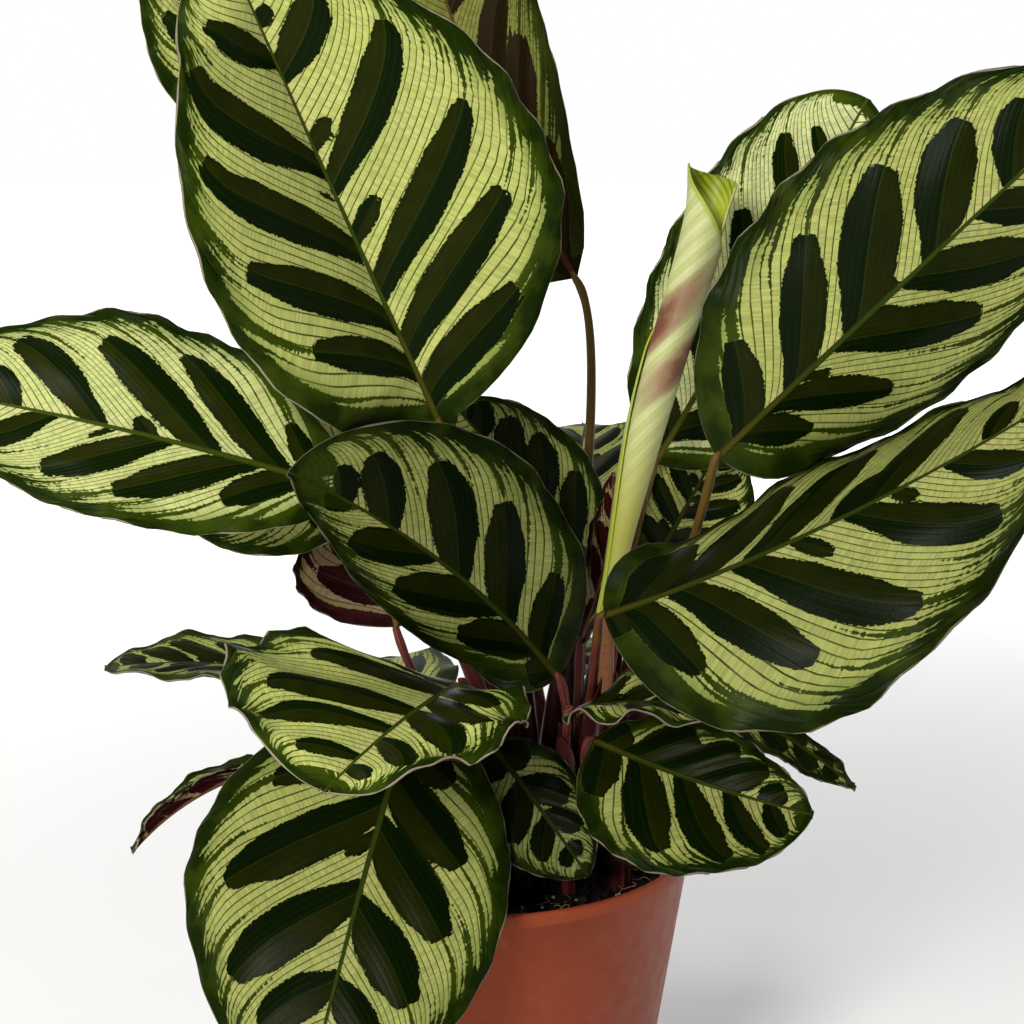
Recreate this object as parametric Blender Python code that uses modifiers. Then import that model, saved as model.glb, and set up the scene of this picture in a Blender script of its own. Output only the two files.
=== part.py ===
"""Potted peacock plant: patterned oval leaves on slender stalks, standing in a round plastic pot.

Frame: metres, +Z up, origin at the middle of the pot's flat underside.
The leaf table is in millimetres, and MM turns it into metres.
"""

import math
from dataclasses import dataclass

import bmesh
import bpy
import numpy as np

MM = 0.001
GAP = 0.3 * MM
SEAT_GAP = 0.5 * MM

# Pot, a plain tapered nursery pot with a small rim band
POT_HEIGHT = 129 * MM
POT_RIM_RADIUS = 73 * MM
POT_FOOT_RADIUS = 52 * MM
POT_WALL = 1.6 * MM
POT_FLOOR = 2.2 * MM
POT_BAND_HEIGHT = 4.5 * MM
POT_BAND_STEP = 1.6 * MM
POT_EDGE = 0.8 * MM
POT_STEPS = 48
DRAIN_HOLES = 6
DRAIN_RADIUS = 4 * MM
DRAIN_CIRCLE = 32 * MM
DRAIN_SIDES = 12

# Soil
SOIL_LEVEL = 120 * MM
SOIL_RINGS = (0, 9, 18, 27, 36, 45, 54, 62)
SOIL_STEPS = 32
SOIL_MOUND = 3.5 * MM
SOIL_MOUND_SPREAD = 30 * MM
SOIL_RELIEF = 1.0 * MM
SOIL_WAVES = (190, 230, 430, 370)    # lumps per metre of the relief, in radians
CROWN = (22 * MM, -8 * MM)

# Leaf stalks
STALK_FOOT = 106 * MM
STALK_STRAIGHT_TO = 128 * MM
STALK_FOOT_RADIUS = 2.5 * MM
STALK_END_RADIUS = 1.3 * MM
STALK_POINTS = 8
STALK_RISE = 0.4
HOLE_SIDES = 8
HOLE_MARGIN = 0.45 * MM

# Leaf blades
BLADE_THICKNESS = 0.8 * MM
RIB_THICKNESS = 1.7 * MM
END_HALF_WIDTH = 1.2 * MM
OUTLINE_POWER = 0.58
LARGE_ROWS = 16
SMALL_ROWS = 11
LARGE_COLUMNS = (-1, -0.7, -0.36, -0.05, 0.05, 0.36, 0.7, 1)
SMALL_COLUMNS = (-1, -0.55, -0.06, 0.06, 0.55, 1)
LARGE_LENGTH = 95 * MM
WAVE_POWER = 2.5              # how closely the waves keep to the edge
WAVE_SLANT = 0.12             # how far the waves lean towards the base, in wavelengths
WAVE_LAG = 1.7                # how far the left edge's waves are behind the right edge's
END_FADE = 9                  # how quickly folds and waves grow from either end
NEAR_MIDRIB = 0.1

# Youngest leaf, still rolled
ROLL_SIDES = 20
ROLL_OVERLAP = 0.14
ROLL_MOUTH_DEPTH = 12 * MM
ROLL_MOUTH_WALL = 0.8 * MM
ROLL_TIP_RISE = 7 * MM
ROLL_MOUTH_TAPER = 0.55


@dataclass(frozen=True)
class Leaf:
    """One leaf: millimetres for places and sizes, degrees for angles.

    Two values in a pair are for the two halves of the blade, left then right of the
    midrib when it is seen from above with the tip away from the viewer.
    """

    number: int
    crown: tuple                 # where the stalk stands in the soil, x and y
    base: tuple                  # where the blade meets its stalk
    tip: tuple
    half: tuple                  # half-widths at the fullest place
    face: tuple                  # roughly where the upper face looks
    fold: tuple = (10, 10)       # how far each half is raised from the flat
    cup: tuple = (20, 20)        # how much each half curls downward on its way out
    fullest: tuple = (0.46, 0.46)
    arch: float = 0              # rise of the midrib between its ends
    sweep: float = 0             # sideways bow of the midrib
    wave: float = 1.5            # height of the waves along the edge
    waves: float = 3
    bend: float = 0.35           # how much the stalk's end turns into line with the blade
    arrive: tuple = ()           # the direction of the stalk's end, where the bend isn't enough
    handle: float = 0.4          # how gently the stalk turns into that direction
    colour: str = "#5C7030"


LEAVES = (
    Leaf(1, (16, -20), (-10, -54, 274), (-64, -86, 405), (56, 61), (0.2, -1, 0.12), fold=(38, 4),
         cup=(25, 25), fullest=(0.46, 0.42), arch=-4, wave=2, colour="#7A8C42"),
    Leaf(2, (8, -12), (-41, -28, 250), (-161, -40, 282), (28, 37), (-0.1, -0.85, 0.45), fold=(0, 0),
         cup=(20, 40), fullest=(0.52, 0.52), arch=8, wave=2.5, colour="#75883E"),
    Leaf(3, (8, 0), (-35, 5, 247), (-107, 0, 252), (30, 33), (0, -1, 0.5), arch=4),
    Leaf(4, (24, -26), (25, -42, 194), (-50, -88, 266), (31, 39), (0.3, -0.85, 0.15), fold=(-52, 0),
         fullest=(0.38, 0.46), sweep=6, wave=2),
    Leaf(5, (32, 2), (41, 8, 216), (-8, -12, 275), (31, 23), (0.1, -1, 0.3), fold=(10, -10)),
    Leaf(6, (34, -10), (33, -15, 197), (43, -15, 253), (11, 11), (-1, -0.4, 0.2), arch=-3, wave=1),
    Leaf(8, (50, -8), (71, -56, 265), (174, -79, 371), (43, 43), (-0.05, -1, 0.3), fold=(4, -42),
         arch=3, wave=2, bend=0, colour="#75883E"),
    Leaf(9, (42, 2), (58, 5, 253), (122, 0, 369), (34, 40), (0, -1, 0.1),
         fullest=(0.55, 0.46), arch=3),
    Leaf(10, (34, -22), (37, -78, 223), (164, -103, 295), (48, 50), (0, -0.72, 0.65),
         fold=(-44, -8), fullest=(0.46, 0.34), sweep=5, wave=3, bend=0, colour="#7A8C42"),
    Leaf(11, (30, 12), (32, 30, 312), (-20, 30, 429), (46, 29), (0.1, -1, 0),
         fullest=(0.46, 0.8), sweep=-4, arrive=(-0.6, 0, 0.8), handle=0.12, colour="#4A5526"),
    Leaf(12, (10, 24), (-80, 30, 357), (-93, 15, 436), (22, 30), (0.1, -1, 0.1)),
    Leaf(13, (0, -6), (-28, 6, 197), (-34, 20, 252), (30, 32), (-0.2, 1, 0.2),
         fullest=(0.46, 0.36), arch=2),
    Leaf(14, (-4, 6), (-55, 20, 174), (-126, 5, 183), (24, 20), (0, -0.12, 1), arch=4),
    Leaf(15, (8, -26), (-5, -35, 190), (-38, -125, 188), (35, 56), (0, -0.42, 1), arch=3, wave=3,
         colour="#75883E"),
    Leaf(16, (2, -38), (-20, -38, 182), (-48, -118, 87), (43, 55), (-0.1, -1, 0.35), fold=(-8, -8),
         fullest=(0.46, 0.42), arch=6, bend=0.6, colour="#5F7434"),
    Leaf(17, (-8, -10), (-67, -10, 155), (-114, -20, 128), (7, 10), (0.1, -0.3, 1), fold=(70, 0),
         arch=6, wave=1, bend=0.6),
    Leaf(18, (15, -37), (4, -37, 171), (34, -61, 137), (15, 20), (0, -0.8, 0.5), arch=3, wave=1,
         bend=0.5),
    Leaf(19, (44, -32), (36, -46, 175), (98, -80, 164), (18, 33), (0.1, -0.75, 0.55), arch=3,
         sweep=3),
    Leaf(20, (27, -34), (29, -62, 190), (74, -92, 198), (22, 24), (0, -0.1, 1), arch=3, wave=2.5,
         arrive=(0, -0.8, 0.6)),
    Leaf(21, (52, 0), (70, 0, 177), (125, -10, 146), (6, 8), (0.3, -0.5, 0.9), fold=(20, -40),
         arch=4, wave=1, bend=0.6),
    Leaf(22, (48, 6), (59, 10, 219), (81, 15, 259), (23, 23), (0, -1, 0.1), arch=2),
    Leaf(23, (24, 20), (32, 36, 212), (40, 116, 250), (30, 30), (0, 0.3, 1), arch=8),
    Leaf(24, (44, 14), (62, 40, 188), (126, 106, 188), (33, 33), (0.2, 0.3, 1), arch=8),
    Leaf(25, (2, 20), (-15, 36, 165), (-79, 100, 141), (31, 31), (-0.2, 0.3, 1), arch=8, bend=0.6),
    Leaf(26, (26, 28), (20, 48, 172), (32, 132, 140), (33, 33), (0, 0.4, 1), arch=8, bend=0.6),
    Leaf(27, (16, 14), (-4, 58, 272), (-40, 86, 384), (38, 38), (-0.2, 1, 0.2), arch=5),
    Leaf(28, (36, 20), (74, 44, 268), (132, 68, 356), (35, 35), (0.3, 1, 0.1), arch=5),
)

# The rolled leaf's axis from its foot to its mouth, with the radius at each point, in millimetres
ROLL_AXIS = (
    ((40, -32, 212), 3.0),
    ((43, -32, 225), 3.8),
    ((46, -32, 243), 4.7),
    ((50, -32, 263), 6.0),
    ((55, -32, 282), 7.1),
    ((60, -32, 300), 7.5),
    ((65, -32, 318), 7.2),
    ((69, -32, 335), 7.2),
    ((70, -32, 343), 7.9),
)
ROLL_CROWN = (42, -16)


def clear_scene():
    """Remove every object that the scene starts with."""
    for obj in list(bpy.data.objects):
        bpy.data.objects.remove(obj, do_unlink=True)


def new_collection(name):
    """Make a collection linked to the scene."""
    collection = bpy.data.collections.new(name)
    bpy.context.scene.collection.children.link(collection)
    return collection


def linear(hex_colour):
    """Turn an sRGB hex colour into the linear values that a material takes."""
    values = [int(hex_colour[i:i + 2], 16) / 255 for i in (1, 3, 5)]
    return [v / 12.92 if v <= 0.04045 else ((v + 0.055) / 1.055) ** 2.4 for v in values] + [1]


def make_material(name, hex_colour, roughness):
    """A plain Principled material in one colour."""
    material = bpy.data.materials.new(name)
    material.use_nodes = True
    shader = material.node_tree.nodes["Principled BSDF"]
    shader.inputs["Base Color"].default_value = linear(hex_colour)
    shader.inputs["Roughness"].default_value = roughness
    shader.inputs["Metallic"].default_value = 0
    return material


def add_object(name, data, collection, material):
    """Link mesh or curve data to a collection as one named object with one material."""
    obj = bpy.data.objects.new(name, data)
    data.materials.append(material)
    collection.objects.link(obj)
    return obj


def unit(vector):
    """Scale a vector, or each row of an array of vectors, to length one."""
    vector = np.asarray(vector, dtype=float)
    return vector / np.linalg.norm(vector, axis=-1, keepdims=True)


def outline(s, fullest):
    """Half-width share along a blade: a round base, a shorter point, 1 at the fullest place."""
    tip_power = OUTLINE_POWER * (1 - fullest) / fullest
    peak = fullest ** OUTLINE_POWER * (1 - fullest) ** tip_power
    return s ** OUTLINE_POWER * (1 - s) ** tip_power / peak


def blade_surface(leaf, s, t):
    """Points of a blade's upper face.

    s runs from 0 at the base to 1 at the tip and t from -1 to 1 across. The midrib is the
    straight line from base to tip, bowed by arch and sweep. Each half leaves it at its fold
    angle, curls down by its cup angle, and waves along its edge. All three fade at both ends.
    """
    base = np.array(leaf.base) * MM
    chord = np.array(leaf.tip) * MM - base
    along = unit(chord)
    up = unit(np.array(leaf.face) - np.dot(leaf.face, along) * along)
    across = np.cross(along, up)
    bow = (up * leaf.arch + across * leaf.sweep) * MM
    midrib = base + s[:, None] * chord + (4 * s * (1 - s))[:, None] * bow
    tangent = unit(chord + (4 - 8 * s)[:, None] * bow)
    side = unit(np.cross(tangent, up))
    normal = np.cross(side, tangent)
    left = t < 0
    reach = np.abs(t)
    width = np.where(left, leaf.half[0] * outline(s, leaf.fullest[0]),
                     leaf.half[1] * outline(s, leaf.fullest[1])) * MM
    width = np.maximum(width, END_HALF_WIDTH)
    fade = np.minimum(1, END_FADE * s * (1 - s))
    fold = np.radians(np.where(left, leaf.fold[0], leaf.fold[1]))
    cup = np.radians(np.where(left, leaf.cup[0], leaf.cup[1]))
    angle = fade * (fold + cup * (0.5 - 0.5 * reach))
    phase = 2 * np.pi * (leaf.waves * s + WAVE_SLANT * reach) + np.where(left, WAVE_LAG, 0) + leaf.number
    ripple = leaf.wave * MM * fade * reach ** WAVE_POWER * np.sin(phase)
    out = np.sign(t) * reach * width * np.cos(angle)
    rise = reach * width * np.sin(angle) + ripple
    return midrib + side * out[:, None] + normal * rise[:, None]


def row_places(rows):
    """Places along a blade from 0 to 1, closer together near the base and the tip."""
    even = np.linspace(0, 1, rows + 1)
    return 0.5 * even + 0.25 * (1 - np.cos(np.pi * even))


def add_blade(leaf, collection):
    """A thin waved blade: a grid moved onto the leaf's surface, split alike, then thickened."""
    length = math.dist(leaf.base, leaf.tip) * MM
    large = length > LARGE_LENGTH
    places = row_places(LARGE_ROWS if large else SMALL_ROWS)
    columns = np.array(LARGE_COLUMNS if large else SMALL_COLUMNS, dtype=float)
    grid = bmesh.new()
    bmesh.ops.create_grid(grid, x_segments=len(places) - 1, y_segments=len(columns) - 1, size=1)
    flat = np.array([vertex.co[:] for vertex in grid.verts])
    row = np.rint((flat[:, 0] + 1) / 2 * (len(places) - 1)).astype(int)
    column = np.rint((1 - flat[:, 1]) / 2 * (len(columns) - 1)).astype(int)
    points = blade_surface(leaf, places[row], columns[column])
    for vertex, point in zip(grid.verts, points):
        vertex.co = point
    bmesh.ops.triangulate(grid, faces=grid.faces, quad_method="BEAUTY")
    mesh = bpy.data.meshes.new(f"leaf_{leaf.number:02d}_blade")
    grid.to_mesh(mesh)
    grid.free()
    mesh.shade_smooth()
    material = make_material(f"leaf_{leaf.number:02d}_green", leaf.colour, 0.4)
    blade = add_object(mesh.name, mesh, collection, material)
    rib = blade.vertex_groups.new(name="midrib")
    near_midrib = np.flatnonzero(np.abs(columns[column]) < NEAR_MIDRIB)
    rib.add([int(index) for index in near_midrib], 1, "REPLACE")
    thicken = blade.modifiers.new("thickness", "SOLIDIFY")
    thicken.thickness = RIB_THICKNESS
    thicken.offset = -1
    thicken.vertex_group = rib.name
    thicken.thickness_vertex_group = BLADE_THICKNESS / RIB_THICKNESS


def bezier(points, t):
    """Points of the cubic curve through the first and last of four control points."""
    a, b, c, d = (np.asarray(point, dtype=float) for point in points)
    t = t[:, None]
    return a * (1 - t) ** 3 + 3 * b * t * (1 - t) ** 2 + 3 * c * t ** 2 * (1 - t) + d * t ** 3


def stalk_path(crown, end, direction, end_radius, bend=1, arrive=(), handle=0.4):
    """A stalk's centre line: straight up out of the soil, then one curve to the blade's base."""
    foot = np.array([crown[0] * MM, crown[1] * MM, STALK_FOOT])
    start = np.array([foot[0], foot[1], STALK_STRAIGHT_TO])
    end = np.asarray(end, dtype=float)
    span = np.linalg.norm(end - start)
    blend = bend * unit(direction) + (1 - bend) * unit(end - start)
    arrival = unit(arrive if arrive else blend)
    tilt = np.linalg.norm(np.cross(arrival, unit(direction)))
    end = end - (SEAT_GAP + end_radius * tilt) * unit(direction)
    handles = (start, start + [0, 0, STALK_RISE * span], end - handle * span * arrival, end)
    return np.vstack([foot, bezier(handles, np.linspace(0, 1, STALK_POINTS))])


def add_stalk(name, path, end_radius, collection):
    """A round stalk that thins from the soil to the blade."""
    curve = bpy.data.curves.new(name, "CURVE")
    curve.dimensions = "3D"
    curve.bevel_depth = 1
    curve.bevel_resolution = 1
    curve.use_fill_caps = True
    spline = curve.splines.new("POLY")
    spline.points.add(len(path) - 1)
    shares = np.linspace(0, 1, len(path))
    for point, place, share in zip(spline.points, path, shares):
        point.co = (*place, 1)
        point.radius = STALK_FOOT_RADIUS + (end_radius - STALK_FOOT_RADIUS) * share
    return add_object(name, curve, collection, make_material(name, "#584C28", 0.5))


def roll_section(radius, rise):
    """One turn of a rolled sheet seen end on: the outer edge steps over the inner one."""
    angle = np.linspace(0, 2 * np.pi, ROLL_SIDES, endpoint=False)
    reach = radius * (1 - ROLL_OVERLAP * angle / (2 * np.pi))
    ring = np.stack([reach * np.cos(angle), reach * np.sin(angle), np.zeros_like(angle)], axis=-1)
    ring[:, 2] = rise * (1 - np.cos(angle)) / 2
    return ring


def add_rolled_leaf(collection):
    """The youngest leaf as a closed roll with a hollow mouth, lofted ring by ring."""
    loft = bmesh.new()
    rings = []
    for place, radius in ROLL_AXIS:
        rise = ROLL_TIP_RISE if place == ROLL_AXIS[-1][0] else 0
        section = roll_section(radius * MM, rise) + np.array(place) * MM
        rings.append([loft.verts.new(point) for point in section])
    mouth_place, mouth_radius = ROLL_AXIS[-1]
    inner = mouth_radius * MM - ROLL_MOUTH_WALL
    for drop, share, rise in ((0, 1, ROLL_TIP_RISE), (ROLL_MOUTH_DEPTH, ROLL_MOUTH_TAPER, 0)):
        section = roll_section(inner * share, rise) + np.array(mouth_place) * MM
        section[:, 2] -= drop
        rings.append([loft.verts.new(point) for point in section])
    for lower, upper in zip(rings, rings[1:]):
        for i in range(ROLL_SIDES):
            j = (i + 1) % ROLL_SIDES
            loft.faces.new((lower[i], lower[j], upper[j], upper[i]))
    loft.faces.new(list(reversed(rings[0])))
    loft.faces.new(rings[-1])
    bmesh.ops.recalc_face_normals(loft, faces=loft.faces)
    mesh = bpy.data.meshes.new("leaf_07_rolled")
    loft.to_mesh(mesh)
    loft.free()
    add_object(mesh.name, mesh, collection, make_material("leaf_07_pale_green", "#A5AD6A", 0.45))


def add_turned(name, profile, steps, collection, material):
    """A turned solid from its profile, which runs down the outer side."""
    mesh = bpy.data.meshes.new(name)
    points = [(radius, 0, height) for radius, height in profile]
    mesh.from_pydata(points, [(i, i + 1) for i in range(len(points) - 1)], [])
    obj = add_object(name, mesh, collection, material)
    turn = obj.modifiers.new("turn", "SCREW")
    turn.steps = steps
    turn.render_steps = steps
    turn.use_merge_vertices = True
    turn.merge_threshold = 0.00001
    return obj


def inner_radius(height):
    """The pot's inner radius at a height."""
    share = height / POT_HEIGHT
    outer = POT_FOOT_RADIUS + (POT_RIM_RADIUS - POT_BAND_STEP - POT_FOOT_RADIUS) * share
    return outer - POT_WALL


def pot_profile():
    """From the middle of the floor up the inside, over the rim and down the outside."""
    band = POT_HEIGHT - POT_BAND_HEIGHT
    return [
        (0, POT_FLOOR),
        (inner_radius(POT_FLOOR), POT_FLOOR),
        (inner_radius(band), band),
        (POT_RIM_RADIUS - POT_WALL, band + POT_EDGE),
        (POT_RIM_RADIUS - POT_WALL, POT_HEIGHT - POT_EDGE / 2),
        (POT_RIM_RADIUS - POT_WALL + POT_EDGE / 2, POT_HEIGHT),
        (POT_RIM_RADIUS - POT_EDGE / 2, POT_HEIGHT),
        (POT_RIM_RADIUS, POT_HEIGHT - POT_EDGE / 2),
        (POT_RIM_RADIUS, band + POT_EDGE / 2),
        (POT_RIM_RADIUS - POT_EDGE / 2, band),
        (inner_radius(band) + POT_WALL, band),
        (POT_FOOT_RADIUS, POT_EDGE),
        (POT_FOOT_RADIUS - POT_EDGE, 0),
        (0, 0),
    ]


def add_cutter(name, place, radius, height, sides, cutters):
    """An upright cylinder that is only cut away from another piece."""
    shape = bmesh.new()
    bmesh.ops.create_cone(shape, cap_ends=True, segments=sides, radius1=radius, radius2=radius,
                          depth=height)
    bmesh.ops.translate(shape, verts=shape.verts, vec=place)
    mesh = bpy.data.meshes.new(name)
    shape.to_mesh(mesh)
    shape.free()
    cutter = bpy.data.objects.new(name, mesh)
    cutter.hide_render = True
    cutter.display_type = "WIRE"
    cutters.objects.link(cutter)


def cut_with(obj, cutters):
    """Cut a collection of cutters out of one object."""
    cut = obj.modifiers.new("holes", "BOOLEAN")
    cut.operation = "DIFFERENCE"
    cut.solver = "EXACT"
    cut.operand_type = "COLLECTION"
    cut.collection = cutters


def add_pot(collection):
    """The pot, with a ring of drainage holes round the solid middle of its floor."""
    plastic = make_material("terracotta_plastic", "#8A4026", 0.5)
    pot = add_turned("pot", pot_profile(), POT_STEPS, collection, plastic)
    cutters = new_collection("pot_cutters")
    for i in range(DRAIN_HOLES):
        angle = 2 * math.pi * (i + 0.5) / DRAIN_HOLES
        place = (DRAIN_CIRCLE * math.cos(angle), DRAIN_CIRCLE * math.sin(angle), POT_FLOOR / 2)
        add_cutter(f"drain_{i + 1}", place, DRAIN_RADIUS, 4 * POT_FLOOR, DRAIN_SIDES, cutters)
    cut_with(pot, cutters)


def soil_height(x, y):
    """The soil's surface: a low mound round the stalks, with an uneven crumbly relief."""
    away = np.hypot(x - CROWN[0], y - CROWN[1])
    mound = SOIL_MOUND * np.exp(-(away / SOIL_MOUND_SPREAD) ** 2)
    coarse = np.sin(SOIL_WAVES[0] * x + 1.1) * np.cos(SOIL_WAVES[1] * y - 0.4)
    fine = np.sin(SOIL_WAVES[2] * x - SOIL_WAVES[3] * y + 0.7)
    return SOIL_LEVEL + mound + SOIL_RELIEF * (0.7 * coarse + 0.3 * fine)


def add_soil(crowns, collection):
    """The soil fills the pot, and has a plain hole for each stalk."""
    edge = inner_radius(SOIL_LEVEL) - 2 * GAP
    floor = POT_FLOOR + GAP
    profile = [(radius * MM, SOIL_LEVEL) for radius in SOIL_RINGS]
    profile += [(edge, SOIL_LEVEL), (inner_radius(floor) - 2 * GAP, floor), (0, floor)]
    dark = make_material("potting_soil", "#1C1813", 0.95)
    turned = add_turned("soil_turned", profile, SOIL_STEPS, collection, dark)
    shape = bpy.data.meshes.new_from_object(turned.evaluated_get(bpy.context.evaluated_depsgraph_get()))
    bpy.data.objects.remove(turned)
    points = np.empty(3 * len(shape.vertices), dtype=np.float32)
    shape.vertices.foreach_get("co", points)
    points = points.reshape(-1, 3)
    top = (points[:, 2] > SOIL_LEVEL - GAP) & (np.hypot(points[:, 0], points[:, 1]) < edge - GAP)
    points[top, 2] = soil_height(points[top, 0], points[top, 1])
    shape.vertices.foreach_set("co", points.ravel())
    shape.name = "soil"
    soil = bpy.data.objects.new("soil", shape)
    collection.objects.link(soil)
    cutters = new_collection("soil_cutters")
    depth = POT_HEIGHT - STALK_FOOT + GAP
    for i, (x, y) in enumerate(crowns):
        place = (x * MM, y * MM, STALK_FOOT - GAP + depth / 2)
        add_cutter(f"hole_{i + 1}", place, STALK_FOOT_RADIUS + HOLE_MARGIN, depth, HOLE_SIDES, cutters)
    cut_with(soil, cutters)


def main():
    """Build the plant in its pot."""
    clear_scene()
    collection = new_collection("potted_peacock_plant")
    add_pot(collection)
    add_soil([leaf.crown for leaf in LEAVES] + [ROLL_CROWN], collection)
    for leaf in LEAVES:
        add_blade(leaf, collection)
        direction = np.array(leaf.tip) - np.array(leaf.base)
        path = stalk_path(leaf.crown, np.array(leaf.base) * MM, direction, STALK_END_RADIUS,
                          leaf.bend, leaf.arrive, leaf.handle)
        add_stalk(f"leaf_{leaf.number:02d}_stalk", path, STALK_END_RADIUS, collection)
    add_rolled_leaf(collection)
    foot, radius = ROLL_AXIS[0]
    path = stalk_path(ROLL_CROWN, np.array(foot) * MM, (0, 0, 1), radius * MM)
    add_stalk("leaf_07_stalk", path, radius * MM, collection)


main()
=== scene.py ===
import logging
import math
from dataclasses import dataclass
from enum import Enum

import bpy
import numpy as np
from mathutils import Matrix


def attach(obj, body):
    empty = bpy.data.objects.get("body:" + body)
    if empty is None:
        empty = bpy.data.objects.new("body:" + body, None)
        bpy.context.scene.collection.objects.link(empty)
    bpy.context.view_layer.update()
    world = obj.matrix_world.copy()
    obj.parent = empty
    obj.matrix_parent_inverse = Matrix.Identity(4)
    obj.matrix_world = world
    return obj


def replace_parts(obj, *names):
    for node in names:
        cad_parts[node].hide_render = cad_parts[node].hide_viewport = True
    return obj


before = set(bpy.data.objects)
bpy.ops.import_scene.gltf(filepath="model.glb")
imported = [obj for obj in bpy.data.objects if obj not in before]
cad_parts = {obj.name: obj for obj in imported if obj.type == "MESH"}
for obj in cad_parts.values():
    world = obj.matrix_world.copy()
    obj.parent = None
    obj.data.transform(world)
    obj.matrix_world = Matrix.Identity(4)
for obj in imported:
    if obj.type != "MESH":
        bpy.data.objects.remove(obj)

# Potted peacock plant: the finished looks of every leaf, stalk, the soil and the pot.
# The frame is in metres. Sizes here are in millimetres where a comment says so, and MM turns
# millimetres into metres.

LOG = logging.getLogger("potted_peacock_plant")
MM = 0.001
BODY = "root"

# What may fill an input of a shader node: a node, an output, a number, a place or a hex colour
Feed = bpy.types.Node | bpy.types.NodeSocket | float | tuple | str

# Settings that many nodes share: a range eased at both ends, two colours mixed, two multiplied
SMOOTH = {"interpolation_type": "SMOOTHSTEP"}
COLOURS = {"data_type": "RGBA"}
TINT = {"data_type": "RGBA", "blend_type": "MULTIPLY"}

# How much of the random clouds shows: from none at the first value to all at the second
SOFT = (0.3, 0.7)

# The blade's outline and waves, as the source of the solids has them
END_HALF_WIDTH = 1.2        # mm, at the very base and tip
OUTLINE_POWER = 0.58
WAVE_POWER = 2.5
WAVE_SLANT = 0.12
WAVE_LAG = 1.7
END_FADE = 9

# The finer ripple of a blade's edge, which only the finished blade has
RIPPLE_RATE = 2.7           # ripples for each long wave
RIPPLE_SLANT = 0.05
RIPPLE_SHIFT = 2.3          # of phase from leaf to leaf
RIPPLE_POWER = 5
SCALLOP = 0.02              # share of the half-width that the edge goes in and out
SCALLOP_SHIFT = 1.3
SCALLOP_POWER = 4

# Side veins: each leaves the midrib, leans towards the tip and curves along the margin
VEIN_LEAN = 1.5
VEIN_START = 0.8
VEIN_FADE = 0.6
VEIN_CURVE = 1.1
VEIN_TURN = 0.45
TURN_START = 0.68
TURN_POWER = 2.2
TURN_BASE = 0.12
VEIN_ROOT = 0.03
ROOT_START = 0.06
ROOT_REACH = 0.08
CELL_SLANT = math.radians(40)
ON_RIM = -0.2               # mm, the distance to the edge on the middle line of the rim

# A blotch's circles: the radius is a share of its width, and the rest are shares of that radius
# or of the way along its vein
BLOTCH_RADIUS = 0.54
BLOTCH_START = 0.5
BLOTCH_GROWTH = 1.2
BLOTCH_TAPER = 0.38
TAPER_START = 0.7
END_CUT = 0.72
CIRCLES = 30
LARGE_REACH = 0.4           # a blotch that reaches further out along its vein counts as large

# The stalks' route, as the source of the solids has it
STALK_FOOT = 106 * MM
STALK_STRAIGHT_TO = 128 * MM
STALK_RISE = 0.4
SEAT_GAP = 0.5 * MM


class Side(Enum):
    """A half of a blade, seen from above with the tip away from the viewer."""

    LEFT = 0
    RIGHT = 1


class Face(Enum):
    """Which material a face of a blade takes."""

    UPPER = 0
    UNDER = 1


@dataclass(frozen=True)
class Leaf:
    """One leaf: millimetres for places and sizes, degrees for angles.

    A pair of values is for the left and the right half. A blotch is (vein, reach, width): the
    place along the midrib where its vein starts, how far out along the vein it ends, both as
    shares, and its width in millimetres. A leaf without a list gets its blotches by rule.
    """

    number: int
    crown: tuple                    # where its stalk stands in the soil
    base: tuple                     # where the midrib starts
    tip: tuple                      # where it ends
    half: tuple                     # half-widths
    face: tuple                     # where the upper side looks
    fold: tuple = (10, 10)          # how steeply each half rises from the midrib
    cup: tuple = (20, 20)           # how far it curls down from there to the margin
    fullest: tuple = (0.46, 0.46)   # share of the midrib where each half is widest
    arch: float = 0                 # how far the midrib bows up
    sweep: float = 0                # how far it bows sideways
    wave: float = 1.5               # height of the long waves of the edge
    waves: float = 3                # how many there are
    bend: float = 0.35              # how much the stalk arrives along the midrib
    arrive: tuple = ()              # the way that the stalk arrives, where it is another
    handle: float = 0.4             # how early it turns that way
    left: tuple = ()                # blotches
    right: tuple = ()
    # painted shade, set leaf by leaf for the light that each one gets: the number below darkens the whole
    # leaf, and below zero it lightens it as painted light
    painted_shade: float = 0.5              # more of it makes the leaf darker
    bold: float = 1.0               # more of it makes the blotches by rule wider
    ripple: float = 0.4             # height of the fine waves of the edge
    steep: float = VEIN_START       # less of it lets the first veins lean more
    edging: float = 1.0             # more of it makes the dark margin wider
    # painted light: the number below veils the pale ground of the brightest-lit leaves in cream
    pale: float = 0.0               # how far the light ground goes towards cream


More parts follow.
